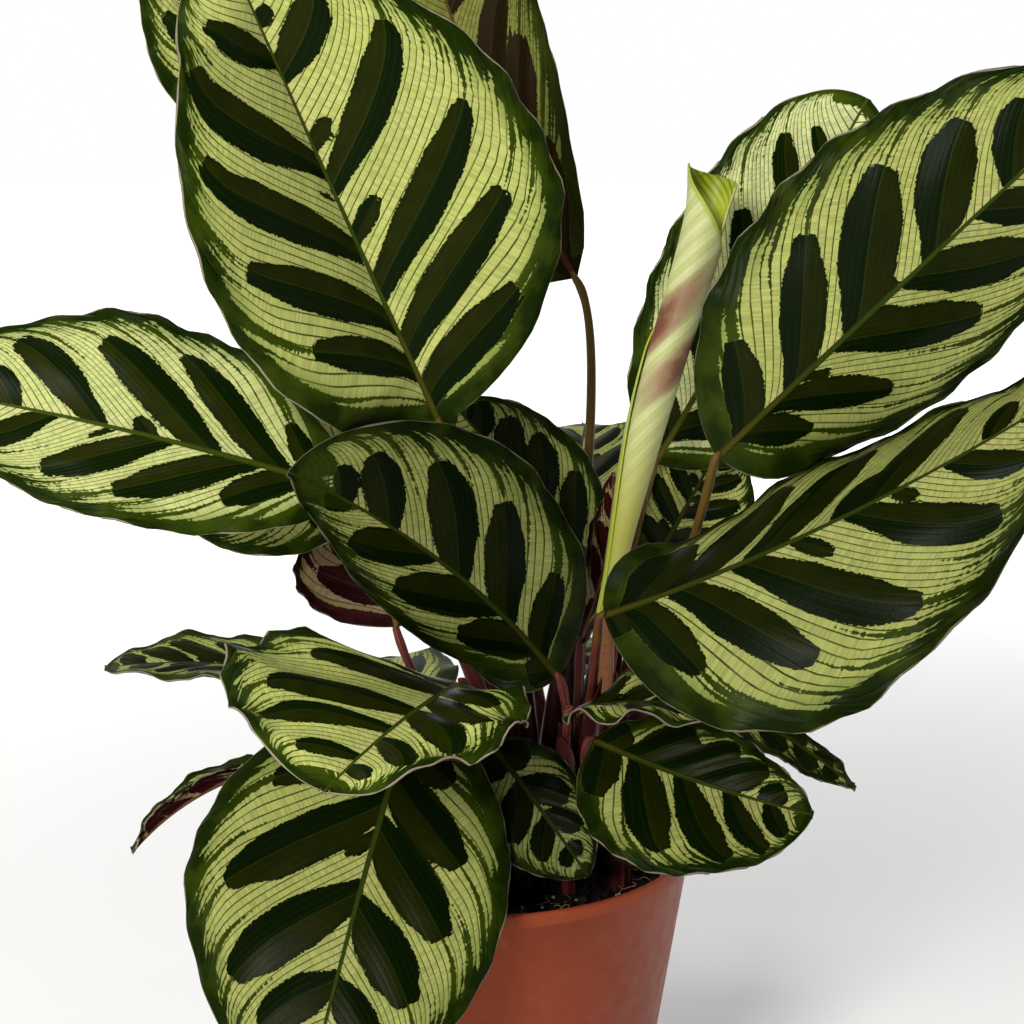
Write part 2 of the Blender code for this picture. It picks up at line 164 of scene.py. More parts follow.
LEAVES = (
    Leaf(1, (16, -20), (-10, -54, 274), (-64, -86, 405), (56, 61), (0.2, -1, 0.12), fold=(38, 4),
         cup=(25, 25), fullest=(0.46, 0.42), arch=-4, wave=2, ripple=0.6, painted_shade=0.5,
         left=((0.13, 0.72, 10), (0.24, 0.8, 11), (0.39, 0.86, 11.5), (0.57, 0.88, 12), (0.78, 0.63, 9),
               (0.5, 0.12, 2), (0.91, 0.3, 4)),
         right=((0.07, 0.8, 12), (0.18, 0.75, 12), (0.31, 0.77, 12), (0.53, 0.74, 11.5), (0.75, 0.57, 11),
                (0.42, 0.18, 6), (0.61, 0.14, 5), (0.85, 0.15, 5), (0.92, 0.45, 5))),
    Leaf(2, (8, -12), (-41, -28, 250), (-161, -40, 282), (28, 37), (-0.1, -0.85, 0.45), fold=(0, 0),
         cup=(20, 40), fullest=(0.52, 0.52), arch=8, wave=2.5, ripple=0.9, painted_shade=0.35, edging=0.75, pale=0.2,
         steep=0.6,
         left=((0.015, 0.5, 7), (0.11, 0.66, 8.5), (0.25, 0.76, 9.5), (0.46, 0.7, 9), (0.58, 0.18, 2),
               (0.73, 0.7, 8)),
         right=((0.05, 0.66, 7.5), (0.17, 0.8, 9.5), (0.35, 0.75, 11.5), (0.49, 0.14, 5.5), (0.62, 0.76, 10),
                (0.82, 0.42, 9))),
    Leaf(3, (8, 0), (-35, 5, 247), (-107, 0, 252), (30, 33), (0, -1, 0.5), arch=4),
    Leaf(4, (24, -26), (25, -42, 194), (-50, -88, 266), (31, 39), (0.3, -0.85, 0.15), fold=(-52, 0),
         fullest=(0.38, 0.46), sweep=6, wave=2, painted_shade=1.65, edging=1.1,
         left=((0.03, 0.55, 10), (0.14, 0.62, 15), (0.32, 0.66, 17), (0.56, 0.62, 15), (0.83, 0.36, 8)),
         right=((0.1, 0.69, 10), (0.26, 0.68, 13), (0.45, 0.68, 14), (0.7, 0.58, 12), (0.83, 0.4, 7))),
    Leaf(5, (32, 2), (41, 8, 216), (-8, -12, 275), (31, 23), (0.1, -1, 0.3), fold=(10, -10),
         painted_shade=1.1, bold=1.3),
    Leaf(6, (34, -10), (33, -15, 197), (43, -15, 253), (11, 11), (-1, -0.4, 0.2), arch=-3, wave=1),
    Leaf(8, (50, -8), (71, -56, 265), (174, -79, 371), (43, 43), (-0.05, -1, 0.3), fold=(4, -42),
         arch=3, wave=2, bend=0, ripple=1.1, painted_shade=1.05, edging=1.05,
         left=((0.08, 0.69, 11), (0.22, 0.7, 12), (0.38, 0.69, 15), (0.46, 0.08, 4), (0.57, 0.65, 14),
               (0.75, 0.55, 11), (0.89, 0.4, 6)),
         right=((0.08, 0.54, 9.5), (0.17, 0.64, 11), (0.24, 0.15, 3), (0.34, 0.65, 13.5), (0.41, 0.14, 4),
                (0.51, 0.62, 14), (0.68, 0.54, 11), (0.84, 0.4, 7))),
    Leaf(9, (42, 2), (58, 5, 253), (122, 0, 369), (34, 40), (0, -1, 0.1),
         fullest=(0.55, 0.46), arch=3, ripple=1.4, painted_shade=-0.2, edging=0.7, pale=0.4,
         left=((0.08, 0.65, 9), (0.26, 0.65, 10), (0.46, 0.57, 9), (0.67, 0.68, 8), (0.82, 0.44, 5)),
         right=((0.1, 0.7, 10), (0.27, 0.7, 11), (0.45, 0.65, 11), (0.65, 0.6, 9), (0.89, 0.2, 6))),
    Leaf(10, (34, -22), (37, -78, 223), (164, -103, 295), (48, 50), (0, -0.72, 0.65),
         fold=(-44, -8), fullest=(0.46, 0.34), sweep=5, wave=3, bend=0, ripple=0.9, painted_shade=1.35, edging=1.0,
         left=((0.07, 0.76, 15), (0.18, 0.82, 15), (0.33, 0.77, 15), (0.49, 0.31, 9), (0.56, 0.74, 13),
               (0.79, 0.42, 8), (0.9, 0.5, 5)),
         right=((0.01, 0.56, 9), (0.065, 0.66, 10.5), (0.17, 0.7, 12), (0.3, 0.77, 13), (0.4, 0.19, 5),
                (0.52, 0.7, 11), (0.6, 0.14, 4), (0.71, 0.52, 8), (0.86, 0.45, 6))),
    Leaf(11, (30, 12), (32, 30, 312), (-20, 30, 429), (46, 29), (0.1, -1, 0),
         fullest=(0.46, 0.8), sweep=-4, arrive=(-0.6, 0, 0.8), handle=0.12, painted_shade=1.1, steep=0.4,
         left=((0.03, 0.7, 10), (0.12, 0.72, 12), (0.3, 0.7, 11), (0.54, 0.6, 9), (0.8, 0.4, 6)),
         right=((0.015, 0.86, 12), (0.09, 0.84, 13), (0.26, 0.8, 12), (0.5, 0.7, 9), (0.75, 0.5, 6))),
    Leaf(12, (10, 24), (-80, 30, 357), (-93, 15, 436), (22, 30), (0.1, -1, 0.1)),
    Leaf(13, (0, -6), (-28, 6, 197), (-34, 20, 252), (30, 32), (-0.2, 1, 0.2),
         fullest=(0.46, 0.36), arch=2, ripple=1.2, painted_shade=1.1, bold=2.0),
    Leaf(14, (-4, 6), (-55, 20, 174), (-126, 5, 183), (24, 20), (0, -0.12, 1), arch=4, painted_shade=0.7,
         steep=0.5),
    Leaf(15, (8, -26), (-5, -35, 190), (-38, -125, 188), (35, 56), (0, -0.42, 1), arch=3, wave=3,
         painted_shade=-0.1, ripple=1.0, edging=1.2,
         left=((0.14, 0.72, 10), (0.27, 0.8, 11), (0.42, 0.8, 11), (0.66, 0.75, 8.5), (0.85, 0.5, 6)),
         right=((0.05, 0.72, 9.5), (0.17, 0.72, 12), (0.41, 0.72, 12), (0.58, 0.75, 9.5), (0.79, 0.5, 7))),
    Leaf(16, (2, -38), (-20, -38, 182), (-48, -118, 87), (43, 55), (-0.1, -1, 0.35), fold=(-8, -8),
         fullest=(0.46, 0.42), arch=6, bend=0.6, painted_shade=1.05,
         left=((0.08, 0.62, 12), (0.19, 0.68, 14), (0.33, 0.66, 14.5), (0.52, 0.6, 14), (0.7, 0.5, 10),
               (0.86, 0.4, 6)),
         right=((0.1, 0.77, 12), (0.27, 0.77, 15.5), (0.36, 0.14, 5), (0.49, 0.72, 15), (0.69, 0.54, 12),
                (0.86, 0.4, 6))),
    Leaf(17, (-8, -10), (-67, -10, 155), (-114, -20, 128), (7, 10), (0.1, -0.3, 1), fold=(70, 0),
         arch=6, wave=1, bend=0.6),
    Leaf(18, (15, -37), (4, -37, 171), (34, -61, 137), (15, 20), (0, -0.8, 0.5), arch=3, wave=1,
         bend=0.5, painted_shade=1.9, edging=1.1,
         left=((0.1, 0.76, 9.5), (0.35, 0.72, 9), (0.58, 0.63, 7), (0.8, 0.42, 4.5)),
         right=((0.07, 0.8, 11.5), (0.35, 0.76, 9.5), (0.6, 0.63, 7), (0.82, 0.42, 4.5))),
    Leaf(19, (44, -32), (36, -46, 175), (98, -80, 164), (18, 33), (0.1, -0.75, 0.55), arch=3,
         sweep=3, ripple=0.9, painted_shade=1.1, edging=1.1,
         left=((0.06, 0.78, 10.5), (0.22, 0.84, 11.5), (0.4, 0.8, 10.5), (0.58, 0.74, 9), (0.8, 0.5, 7)),
         right=((0.07, 0.78, 10.5), (0.25, 0.84, 12), (0.46, 0.84, 10), (0.66, 0.8, 7.5), (0.83, 0.6, 6))),
    Leaf(20, (27, -34), (29, -62, 190), (74, -92, 198), (22, 24), (0, -0.1, 1), arch=3, wave=2.5,
         arrive=(0, -0.8, 0.6), painted_shade=1.0, bold=1.6),
    Leaf(21, (52, 0), (70, 0, 177), (125, -10, 146), (6, 8), (0.3, -0.5, 0.9), fold=(20, -40),
         arch=4, wave=1, bend=0.6, painted_shade=0.7),
    Leaf(22, (48, 6), (59, 10, 219), (81, 15, 259), (23, 23), (0, -1, 0.1), arch=2, painted_shade=0.9,
         bold=1.3),
    Leaf(23, (24, 20), (32, 36, 212), (40, 116, 250), (30, 30), (0, 0.3, 1), arch=8),
    Leaf(24, (44, 14), (62, 40, 188), (126, 106, 188), (33, 33), (0.2, 0.3, 1), arch=8),
    Leaf(25, (2, 20), (-15, 36, 165), (-79, 100, 141), (31, 31), (-0.2, 0.3, 1), arch=8, bend=0.6),
    Leaf(26, (26, 28), (20, 48, 172), (32, 132, 140), (33, 33), (0, 0.4, 1), arch=8, bend=0.6),
    Leaf(27, (16, 14), (-4, 58, 272), (-40, 86, 384), (38, 38), (-0.2, 1, 0.2), arch=5),
    Leaf(28, (36, 20), (74, 44, 268), (132, 68, 356), (35, 35), (0.3, 1, 0.1), arch=5),
)

# Leaves without the usual upper skin: an old one, and one that shows its underside's colours
OLD_LEAVES = (11,)
FOLDED_LEAVES = (6,)

# What each blade's mesh holds for its skin: fine veins counted from the base, millimetres across
# them, a number for each half, millimetres inside a blotch, from the edge and from the midrib,
# millimetres between two veins, large blotches counted, share of the length, painted shade and the painted
# light of pale
BLADE_FIELDS = ("vein", "along", "side", "blotch", "edge", "rib", "spacing", "pleat", "share",
                "painted_shade", "pale")


def linear(hex_colour: str) -> tuple:
    """Turn an sRGB hex colour into the linear values that a shader takes.

    Args:
        hex_colour: a colour such as "#7A8C42".

    Returns:
        Red, green, blue and an alpha of 1.
    """
    values = [int(hex_colour[i:i + 2], 16) / 255 for i in (1, 3, 5)]
    return tuple(v / 12.92 if v <= 0.04045 else ((v + 0.055) / 1.055) ** 2.4 for v in values) + (1.0,)


def unit(vectors: np.ndarray) -> np.ndarray:
    """Scale each vector in the last axis to length one."""
    vectors = np.asarray(vectors, dtype=float)
    return vectors / np.maximum(np.linalg.norm(vectors, axis=-1, keepdims=True), 1e-12)


def smooth_step(low: float, high: float, values: np.ndarray) -> np.ndarray:
    """Rise gently from 0 at low to 1 at high."""
    share = np.clip((values - low) / (high - low), 0, 1)
    return share * share * (3 - 2 * share)


def feed(tree: bpy.types.NodeTree, socket: bpy.types.NodeSocket, value: Feed) -> None:
    """Link an input to the node or output that feeds it, or let it hold a value.

    Args:
        tree: the node tree that both are in.
        socket: the input.
        value: what fills it. Of a node, the first output that its settings leave open is taken.
    """
    if isinstance(value, bpy.types.Node):
        value = next(output for output in value.outputs if output.enabled)
    if isinstance(value, bpy.types.NodeSocket):
        tree.links.new(value, socket)
    else:
        socket.default_value = linear(value) if isinstance(value, str) else value


def add_node(tree: bpy.types.NodeTree, kind: str, *values: Feed, **settings: Feed) -> bpy.types.Node:
    """Add one shader node with its settings and links.

    Args:
        tree: the node tree of a material or of the surroundings.
        kind: the node's type without "ShaderNode", and after a point its operation if it has one.
        values: what fills the inputs that the settings leave open, in their order.
        settings: properties of the node, and inputs by name where the name has a capital letter.

    Returns:
        The node.
    """
    kind, _, operation = kind.partition(".")
    made = tree.nodes.new("ShaderNode" + kind)
    if operation:
        made.operation = operation
    for name, value in settings.items():
        if name[0].isupper():
            feed(tree, made.inputs[name], value)
        else:
            setattr(made, name, value)
    for socket, value in zip([socket for socket in made.inputs if socket.enabled], values):
        feed(tree, socket, value)
    return made


class Recipe:
    """A material being written, with the patterns that several finishes share."""

    def __init__(self, name: str, fields: tuple = ()) -> None:
        """Start a material with one Principled shader.

        Args:
            name: the material's name.
            fields: the names of the numbers that it reads from the mesh.
        """
        self.material = bpy.data.materials.new(name)
        self.material.use_nodes = True
        self.tree = self.material.node_tree
        self.shader = self.tree.nodes["Principled BSDF"]
        self.field = {key: self.add("Attribute", attribute_name=key).outputs["Fac"] for key in fields}

    def add(self, kind: str, *values: Feed, **settings: Feed) -> bpy.types.Node:
        """Add one node to this material."""
        return add_node(self.tree, kind, *values, **settings)

    def coats(self, colour: Feed, *coats: tuple) -> Feed:
        """Lay coats over a colour, one after the other.

        Args:
            colour: the first colour.
            coats: for each coat, how much of it covers and its colour.

        Returns:
            The colour with all the coats.
        """
        for share, coat in coats:
            colour = self.add("Mix", share, colour, coat, **COLOURS)
        return colour

    def cells(self, *parts: Feed) -> bpy.types.Node:
        """A random number from 0 to 1 that is the same wherever its parts are."""
        return self.add("TexWhiteNoise", self.add("CombineXYZ", *parts), noise_dimensions="3D")

    def clouds(self, size: float, detail: float = 3.0, seed: float = 0.0) -> bpy.types.Node:
        """Soft random clouds of about a size in millimetres, 0 to 1, fixed to the object.

        Args:
            size: about how wide they are, in millimetres.
            detail: how many finer layers they have.
            seed: where in the noise they are taken.

        Returns:
            The node.
        """
        place = self.add("TexCoord").outputs["Object"]
        moved = self.add("Mapping", place, (seed, seed * 0.7, 0.0))
        return self.add("TexNoise", moved, 1 / (size * MM), detail)

    def finish(self, **inputs: Feed) -> bpy.types.Material:
        """Fill the shader's own inputs, with _ for a space in a name, and hand the material over.

        Args:
            inputs: what fills each of them.

        Returns:
            The material.
        """
        for name, value in inputs.items():
            feed(self.tree, self.shader.inputs[name.replace("_", " ")], value)
        return self.material


@dataclass(frozen=True)
class Grain:
    """What the layers of a blade's skin share: its small cells, and two of its distances."""

    side: Feed          # a whole number for each half of each blade
    row_chance: Feed    # a random number for each row of cells, which lies between two fine veins
    cell: Feed          # a random number for each cell
    bricks: Feed        # cells counted along a row
    to_vein: Feed       # mm to the nearest fine vein
    edge: Feed          # mm to the edge, counted longer towards the tip, so the margin narrows


@dataclass(frozen=True)
class Bundle:
    """One of the two kinds of long dark wedge that part the pale strips into bundles."""

    at_blotch: bool     # it points at the end of a large blotch, and not halfway between two
    width: float        # share of the way from one large blotch to the next
    reach: tuple        # mm, the shortest and the longest beyond the margin


@dataclass(frozen=True)
class BladeFinish:
    """Living leaf skin: waxy and patterned, drawn from distances that each blade carries."""

    name: str
    light: tuple                        # two tones of the pale ground
    inner: str                          # the ground close to the midrib
    dark: tuple                         # a blotch's half towards the base, then towards the tip
    margin: tuple                       # two tones of the band along the edge
    vein: str                           # fine veins on the pale ground
    vein_on_dark: str
    rib: tuple                          # the midrib at the base, then at the tip
    rim: str                            # the thin edge itself
    shine: tuple                        # roughness of the dark, then of the pale parts
    seed: float = 0.0
    by_margin: str = "#4A661A"          # the ground's tone close to the margin
    # painted light: the cream below veils the ground of the brightest-lit leaves
    painted_light_cream: str = "#CBD2A8"              # the ground's tone on a pale leaf

    # Sizes in millimetres
    cell_length: float = 0.6            # between the fine cross-veins
    blur: float = 0.12                  # to each side of a pattern's edge
    ragged_side: float = 0.5            # that a pattern's edge jumps from cell to cell
    ragged_row: float = 0.5             # that it jumps from vein to vein
    band: float = 1.5                   # of dark margin at the tip
    base_band: float = 3.4              # that it is wider at the base
    band_clouds: float = 2.0            # that it is wider by chance
    band_teeth: float = 0.9             # that its edge jumps from cell to cell
    strip_end: float = 2.6              # that a strip of ground may end further in
    fringe: float = 6.5                 # of greener ground inside the margin
    wedge: tuple = (3.0, 13.0)          # of the shortest and the longest wedge on a fine vein
    inner_reach: tuple = (0.8, 5.5)     # from the midrib, where the inner tone starts to end
    rib_half: tuple = (1.0, 0.4)        # half-width of the midrib at the base and at the tip
    relief: float = 0.16

    # Shares
    narrowing: tuple = (0.7, 0.95, 1.0, 0.4)    # where the margin narrows, and from what to what
    base_part: float = 0.38             # of the blade, where the margin is wider
    wedge_power: float = 1.6            # how late a wedge widens
    wedge_width: float = 0.42           # of the space between two fine veins
    vein_width: float = 0.13            # of that space
    bundles: tuple = (Bundle(True, 0.12, (13.0, 20.0)), Bundle(False, 0.1, (5.0, 22.0)))
    bundle_teeth: float = 0.03
    bundle_blur: float = 0.008

    def make(self) -> bpy.types.Material:
        """Write the material, from the ground up.

        The pale ground comes first, with its cream veil of painted light, then blotches, the green
        margin with its wedges, the midrib, the thin rim, and last the whole leaf's painted shade. Dark
        parts shine more than pale ones.

        Returns:
            The material.
        """
        r = Recipe(self.name, BLADE_FIELDS)
        grain = self.grain(r)
        blotch = self.blotch(r, grain)
        margin, near = self.margin_share(r, grain)
        outside = r.add("Math.SUBTRACT", 1.0, blotch)
        in_rib, rib = self.midrib(r)
        colour = r.coats(
            self.ground(r, grain),
            (r.add("Math.MULTIPLY", near, 0.5), self.by_margin),
            (blotch, self.dark_tissue(r, grain)),
            (r.add("Math.MULTIPLY", margin, outside), self.green(r, grain)),
            (in_rib, rib),
            (r.add("MapRange", r.field["edge"], 0.02, 0.2, 0.85, 0.0, **SMOOTH), self.rim))
        # Painted shade: the whole leaf's colour is multiplied by 1.08 - 0.4 times its shade number, darker
        # where the leaf gets less light
        painted_dimming = r.add("Math.MULTIPLY", r.field["painted_shade"], 0.4)
        light = r.add("Math.SUBTRACT", 1.08, painted_dimming)
        darkness = r.add("Math.MAXIMUM", blotch, margin)
        gloss = r.add("MapRange", darkness, 0.0, 1.0, self.shine[1], self.shine[0], **SMOOTH)
        height = self.height(r, grain, blotch, in_rib)
        return r.finish(
            Base_Color=r.add("Mix", 1.0, colour, light, **TINT), IOR=1.42, Specular_IOR_Level=0.035,
            Roughness=r.add("Math.MULTIPLY_ADD", r.clouds(6, 3, 0.2), 0.12, gloss),
            Normal=r.add("Bump", Height=height, Distance=self.relief * MM, Strength=1.0))

    def grain(self, r: Recipe) -> Grain:
        """Work out the cells and the distances.

        The cells are like bricks: rows between the fine veins, cut across every cell_length, and
        each row shifted by its own chance.

        Args:
            r: the recipe.

        Returns:
            The cells and distances.
        """
        side = r.add("Math.ROUND", r.field["side"])
        row = r.add("Math.FLOOR", r.field["vein"])
        row_chance = r.cells(row, side, self.seed)
        bricks = r.add("Math.DIVIDE", r.field["along"], self.cell_length)
        shifted = r.add("Math.ADD", bricks, row_chance)
        column = r.add("Math.FLOOR", shifted)
        to_vein = r.add("Math.PINGPONG", r.field["vein"], 0.5)
        narrow = r.add("MapRange", r.field["share"], *self.narrowing, **SMOOTH)
        return Grain(side=side, row_chance=row_chance, cell=r.cells(row, column, side), bricks=bricks,
                     to_vein=r.add("Math.MULTIPLY", to_vein, r.field["spacing"]),
                     edge=r.add("Math.DIVIDE", r.field["edge"], narrow))

    def blotch(self, r: Recipe, grain: Grain) -> bpy.types.Node:
        """1 inside a blotch, 0 outside, with small teeth on its edge.

        Args:
            r: the recipe.
            grain: the cells and distances.

        Returns:
            The share.
        """
        depth = r.field["blotch"]
        for chance, jump in ((grain.cell, self.ragged_side), (grain.row_chance, self.ragged_row)):
            centred = r.add("Math.SUBTRACT", chance, 0.5)
            depth = r.add("Math.MULTIPLY_ADD", centred, jump, depth)
        return r.add("MapRange", depth, -self.blur, self.blur, **SMOOTH)

    def taper(self, r: Recipe, grain: Grain, chance: Feed, reach: tuple, start: Feed) -> bpy.types.Node:
        """How wide a wedge is: 1 at the margin, and 0 from its inner end on.

        Its length lies by chance within its reach, counted from the margin's own width. The
        width is (what is left of the length / the whole length)^wedge_power.

        Args:
            r: the recipe.
            grain: the cells and distances.
            chance: a random number from 0 to 1.
            reach: the shortest and the longest, in millimetres.
            start: the margin's width there.

        Returns:
            The share of the full width.
        """
        beyond = r.add("MapRange", chance, 0.0, 1.0, *reach, **SMOOTH)
        end = r.add("Math.ADD", beyond, start)
        left = r.add("Math.SUBTRACT", end, grain.edge)
        whole = r.add("Math.SUBTRACT", end, start)
        share = r.add("Math.DIVIDE", left, whole)
        share = r.add("Math.MAXIMUM", share, 0.0)
        return r.add("Math.POWER", share, self.wedge_power)

    def margin_share(self, r: Recipe, grain: Grain) -> tuple:
        """The dark margin: strips of pale ground end bluntly in it, and the veins widen towards it.

        Args:
            r: the recipe.
            grain: the cells and distances.

        Returns:
            1 in the margin and 0 elsewhere, and how near a place is to the margin, from 1 to 0.
        """
        wider = r.add("MapRange", r.field["share"], 0.0, self.base_part, self.base_band, 0.0, **SMOOTH)
        wide = r.add("Math.ADD", wider, self.band)
        wavy = r.add("Math.MULTIPLY_ADD", r.clouds(14, 2), self.band_clouds, wide)

        nearest = r.add("Math.ROUND", r.field["vein"])
        chance = r.cells(nearest, grain.side, self.seed + 5)
        taper = self.taper(r, grain, chance, self.wedge, wavy)
        widest = r.add("Math.MULTIPLY", r.field["spacing"], self.wedge_width)
        centred = r.add("Math.SUBTRACT", grain.cell, 0.5)
        uneven = r.add("Math.MULTIPLY_ADD", centred, 0.4, grain.to_vein)
        width = r.add("Math.MULTIPLY", taper, widest)
        inside = r.add("Math.SUBTRACT", width, uneven)
        wedges = r.add("Math.MULTIPLY", r.add("MapRange", inside, -self.blur, self.blur, **SMOOTH),
                       r.add("MapRange", taper, 0.0, 0.02, **SMOOTH))
        wedges = r.add("Math.MAXIMUM", wedges, self.bundle_share(r, grain, wavy))

        strip = r.add("MapRange", grain.row_chance, 0.15, 1.0, 0.0, self.strip_end, **SMOOTH)
        toothed = r.add("Math.MULTIPLY_ADD", grain.cell, self.band_teeth, wavy)
        band_edge = r.add("Math.ADD", toothed, strip)
        inside = r.add("Math.SUBTRACT", band_edge, grain.edge)
        band = r.add("MapRange", inside, -0.2, 0.2, **SMOOTH)
        near = r.add("MapRange", inside, -self.fringe, 0.5, **SMOOTH)
        return r.add("Math.MAXIMUM", band, wedges), near

    def bundle_share(self, r: Recipe, grain: Grain, wavy: Feed) -> Feed:
        """1 in the long dark wedges that part the pale strips into bundles, 0 elsewhere.

        Args:
            r: the recipe.
            grain: the cells and distances.
            wavy: the margin's width in millimetres.

        Returns:
            The share.
        """
        pleat = r.field["pleat"]
        to_blotch = r.add("Math.PINGPONG", pleat, 0.5)
        to_gap = r.add("Math.SUBTRACT", 0.5, to_blotch)
        centred = r.add("Math.SUBTRACT", grain.cell, 0.5)
        total = 0.0
        for bundle in self.bundles:
            away, shift = (to_blotch, 0.5) if bundle.at_blotch else (to_gap, 0.0)
            number = r.add("Math.FLOOR", r.add("Math.ADD", pleat, shift))
            chance = r.cells(number, grain.side, self.seed + 9 + shift)
            taper = self.taper(r, grain, chance, bundle.reach, wavy)
            rough = r.add("Math.MULTIPLY_ADD", centred, self.bundle_teeth, away)
            width = r.add("Math.MULTIPLY", taper, bundle.width)
            inside = r.add("Math.SUBTRACT", width, rough)
            drawn = r.add("MapRange", inside, -self.bundle_blur, self.bundle_blur, **SMOOTH)
            drawn = r.add("Math.MULTIPLY", drawn, r.add("MapRange", taper, 0.0, 0.02, **SMOOTH))
            total = r.add("Math.MAXIMUM", total, drawn)
        return total

    def ground(self, r: Recipe, grain: Grain) -> bpy.types.Node:
        """Pale ground with its bricks, darker fine veins, a paler strip beside the midrib and a cream veil
        of painted light.

        Args:
            r: the recipe.
            grain: the cells and distances.

        Returns:
            The colour.
        """
        inner = r.add("MapRange", r.field["rib"], *self.inner_reach, 0.38, 0.0, **SMOOTH)
        # The last coat is painted light: a cream veil by the leaf's pale number
        ground = r.coats(self.light[0], (r.clouds(22, 4), self.light[1]), (inner, self.inner),
                         (r.field["pale"], self.painted_light_cream))
        brick = r.add("Math.MULTIPLY_ADD", grain.cell, 0.3, 0.84)
        joint = r.add("Math.PINGPONG", r.add("Math.ADD", grain.bricks, grain.cell), 0.5)
        joint = r.add("MapRange", joint, 0.0, 0.2, 0.22, 0.0, **SMOOTH)
        brick = r.add("Math.SUBTRACT", brick, joint)
        ground = r.add("Mix", 1.0, ground, brick, **TINT)
        thick = r.add("Math.MULTIPLY", r.field["spacing"], self.vein_width)
        line = r.add("Math.DIVIDE", grain.to_vein, thick)
        line = r.add("MapRange", line, 0.35, 0.85, 1.0, 0.0, **SMOOTH)
        faint = r.add("MapRange", r.clouds(7, 3, 0.7), 0.3, 0.6, 0.7, 1.0, **SMOOTH)
        return r.coats(ground, (r.add("Math.MULTIPLY", line, faint), self.vein))

    def dark_tissue(self, r: Recipe, grain: Grain) -> bpy.types.Node:
        """A blotch: greener towards the base and browner towards the tip of its pale centre vein.

        Args:
            r: the recipe.
            grain: the cells and distances.

        Returns:
            The colour.
        """
        half = r.add("Math.ADD", r.field["pleat"], 0.5)
        half = r.add("Math.FRACT", half)
        half = r.add("Math.SUBTRACT", half, 0.5)
        tipward = r.add("MapRange", half, -0.02, 0.03, **SMOOTH)
        cloudy = r.add("MapRange", r.clouds(9, 5, 0.4), *SOFT, 0.5, 1.0, **SMOOTH)
        return r.coats(
            self.dark[0],
            (r.add("Math.MULTIPLY", tipward, cloudy), self.dark[1]),
            (r.add("MapRange", r.field["blotch"], 0.0, 1.6, 0.5, 0.0, **SMOOTH), self.dark[0]),
            (r.add("MapRange", grain.to_vein, 0.06, 0.22, 0.14, 0.0, **SMOOTH), self.vein_on_dark),
            (r.add("MapRange", r.add("Math.ABSOLUTE", half), 0.006, 0.018, 0.45, 0.0,
                   **SMOOTH), self.vein_on_dark))

    def green(self, r: Recipe, grain: Grain) -> bpy.types.Node:
        """The margin's green: cloudy, and lighter further in.

        Args:
            r: the recipe.
            grain: the cells and distances.

        Returns:
            The colour.
        """
        cloudy = r.add("MapRange", r.clouds(12, 4, 0.9), 0.35, 0.7, **SMOOTH)
        inward = r.add("MapRange", grain.edge, 2.0, 9.0, -0.3, 0.5, **SMOOTH)
        tone = r.add("Math.ADD", cloudy, inward, use_clamp=True)
        return r.coats(self.margin[0], (tone, self.margin[1]))

    def midrib(self, r: Recipe) -> tuple:
        """The midrib, which narrows from the base to the tip.

        Args:
            r: the recipe.

        Returns:
            1 on the midrib and 0 beside it, and its colour.
        """
        share, rib = r.field["share"], r.field["rib"]
        half = r.add("MapRange", share, 0.0, 1.0, *self.rib_half, **SMOOTH)
        inside = r.add("Math.SUBTRACT", half, rib)
        colour = r.coats(self.rib[0], (r.add("MapRange", share, 0.0, 0.3, **SMOOTH), self.rib[1]),
                         (r.add("MapRange", rib, 0.1, 0.9, 0.0, 0.5, **SMOOTH), self.margin[0]))
        return r.add("MapRange", inside, -0.2, 0.15, **SMOOTH), colour

    def height(self, r: Recipe, grain: Grain, blotch: Feed, in_rib: Feed) -> bpy.types.Node:
        """The relief: furrows along the fine veins, uneven cells, fine grain and a raised midrib.

        Args:
            r: the recipe.
            grain: the cells and distances.
            blotch: 1 inside a blotch.
            in_rib: 1 on the midrib.

        Returns:
            The height.
        """
        furrow = r.add("MapRange", grain.to_vein, 0.0, 0.5, **SMOOTH)
        flat = r.add("MapRange", blotch, 0.0, 1.0, 0.5, 0.16, **SMOOTH)
        height = r.add("Math.MULTIPLY", furrow, flat)
        for part, weight in ((grain.cell, 0.12), (r.clouds(1.2, 2), 0.3), (in_rib, 1.2)):
            height = r.add("Math.MULTIPLY_ADD", part, weight, height)
        return height


# Living leaf skin, upper side: waxy cuticle over pale and dark green tissue, so it has a soft shine.
UPPER_SKIN = BladeFinish(
    name="leaf_skin_upper", light=("#B9BD70", "#A6AE5A"), inner="#C0BA7C",
    dark=("#0A1702", "#202402"), margin=("#182603", "#36440A"), vein="#36440F",
    vein_on_dark="#2F3B0C", rib=("#4C4613", "#34420C"), rim="#8E8872", shine=(0.26, 0.46))

# Old leaf skin, upper side: the same waxy cuticle, browned, so its pale ground looks like dull brass.
AGED_SKIN = BladeFinish(
    name="leaf_skin_aged", light=("#92924C", "#838A40"), inner="#94864E",
    dark=("#1E1603", "#261D04"), margin=("#262C06", "#40480C"), vein="#4A400E",
    vein_on_dark="#4E3A1C", rib=("#5A3020", "#5A4A22"), rim="#7C6A58", shine=(0.4, 0.5), seed=9.0)

# Living leaf skin, underside: matt and purple where the upper side is dark, cream where it is pale.
UNDER_SKIN = BladeFinish(
    name="leaf_skin_under", light=("#93875F", "#8A7256"), inner="#9A8A68",
    dark=("#1C0203", "#2A0607"), margin=("#200806", "#341010"), vein="#5A3A2C",
    vein_on_dark="#5A2A2A", rib=("#6E5A2C", "#6A4A32"), rim="#7A6A60", shine=(0.5, 0.6), seed=3.0)


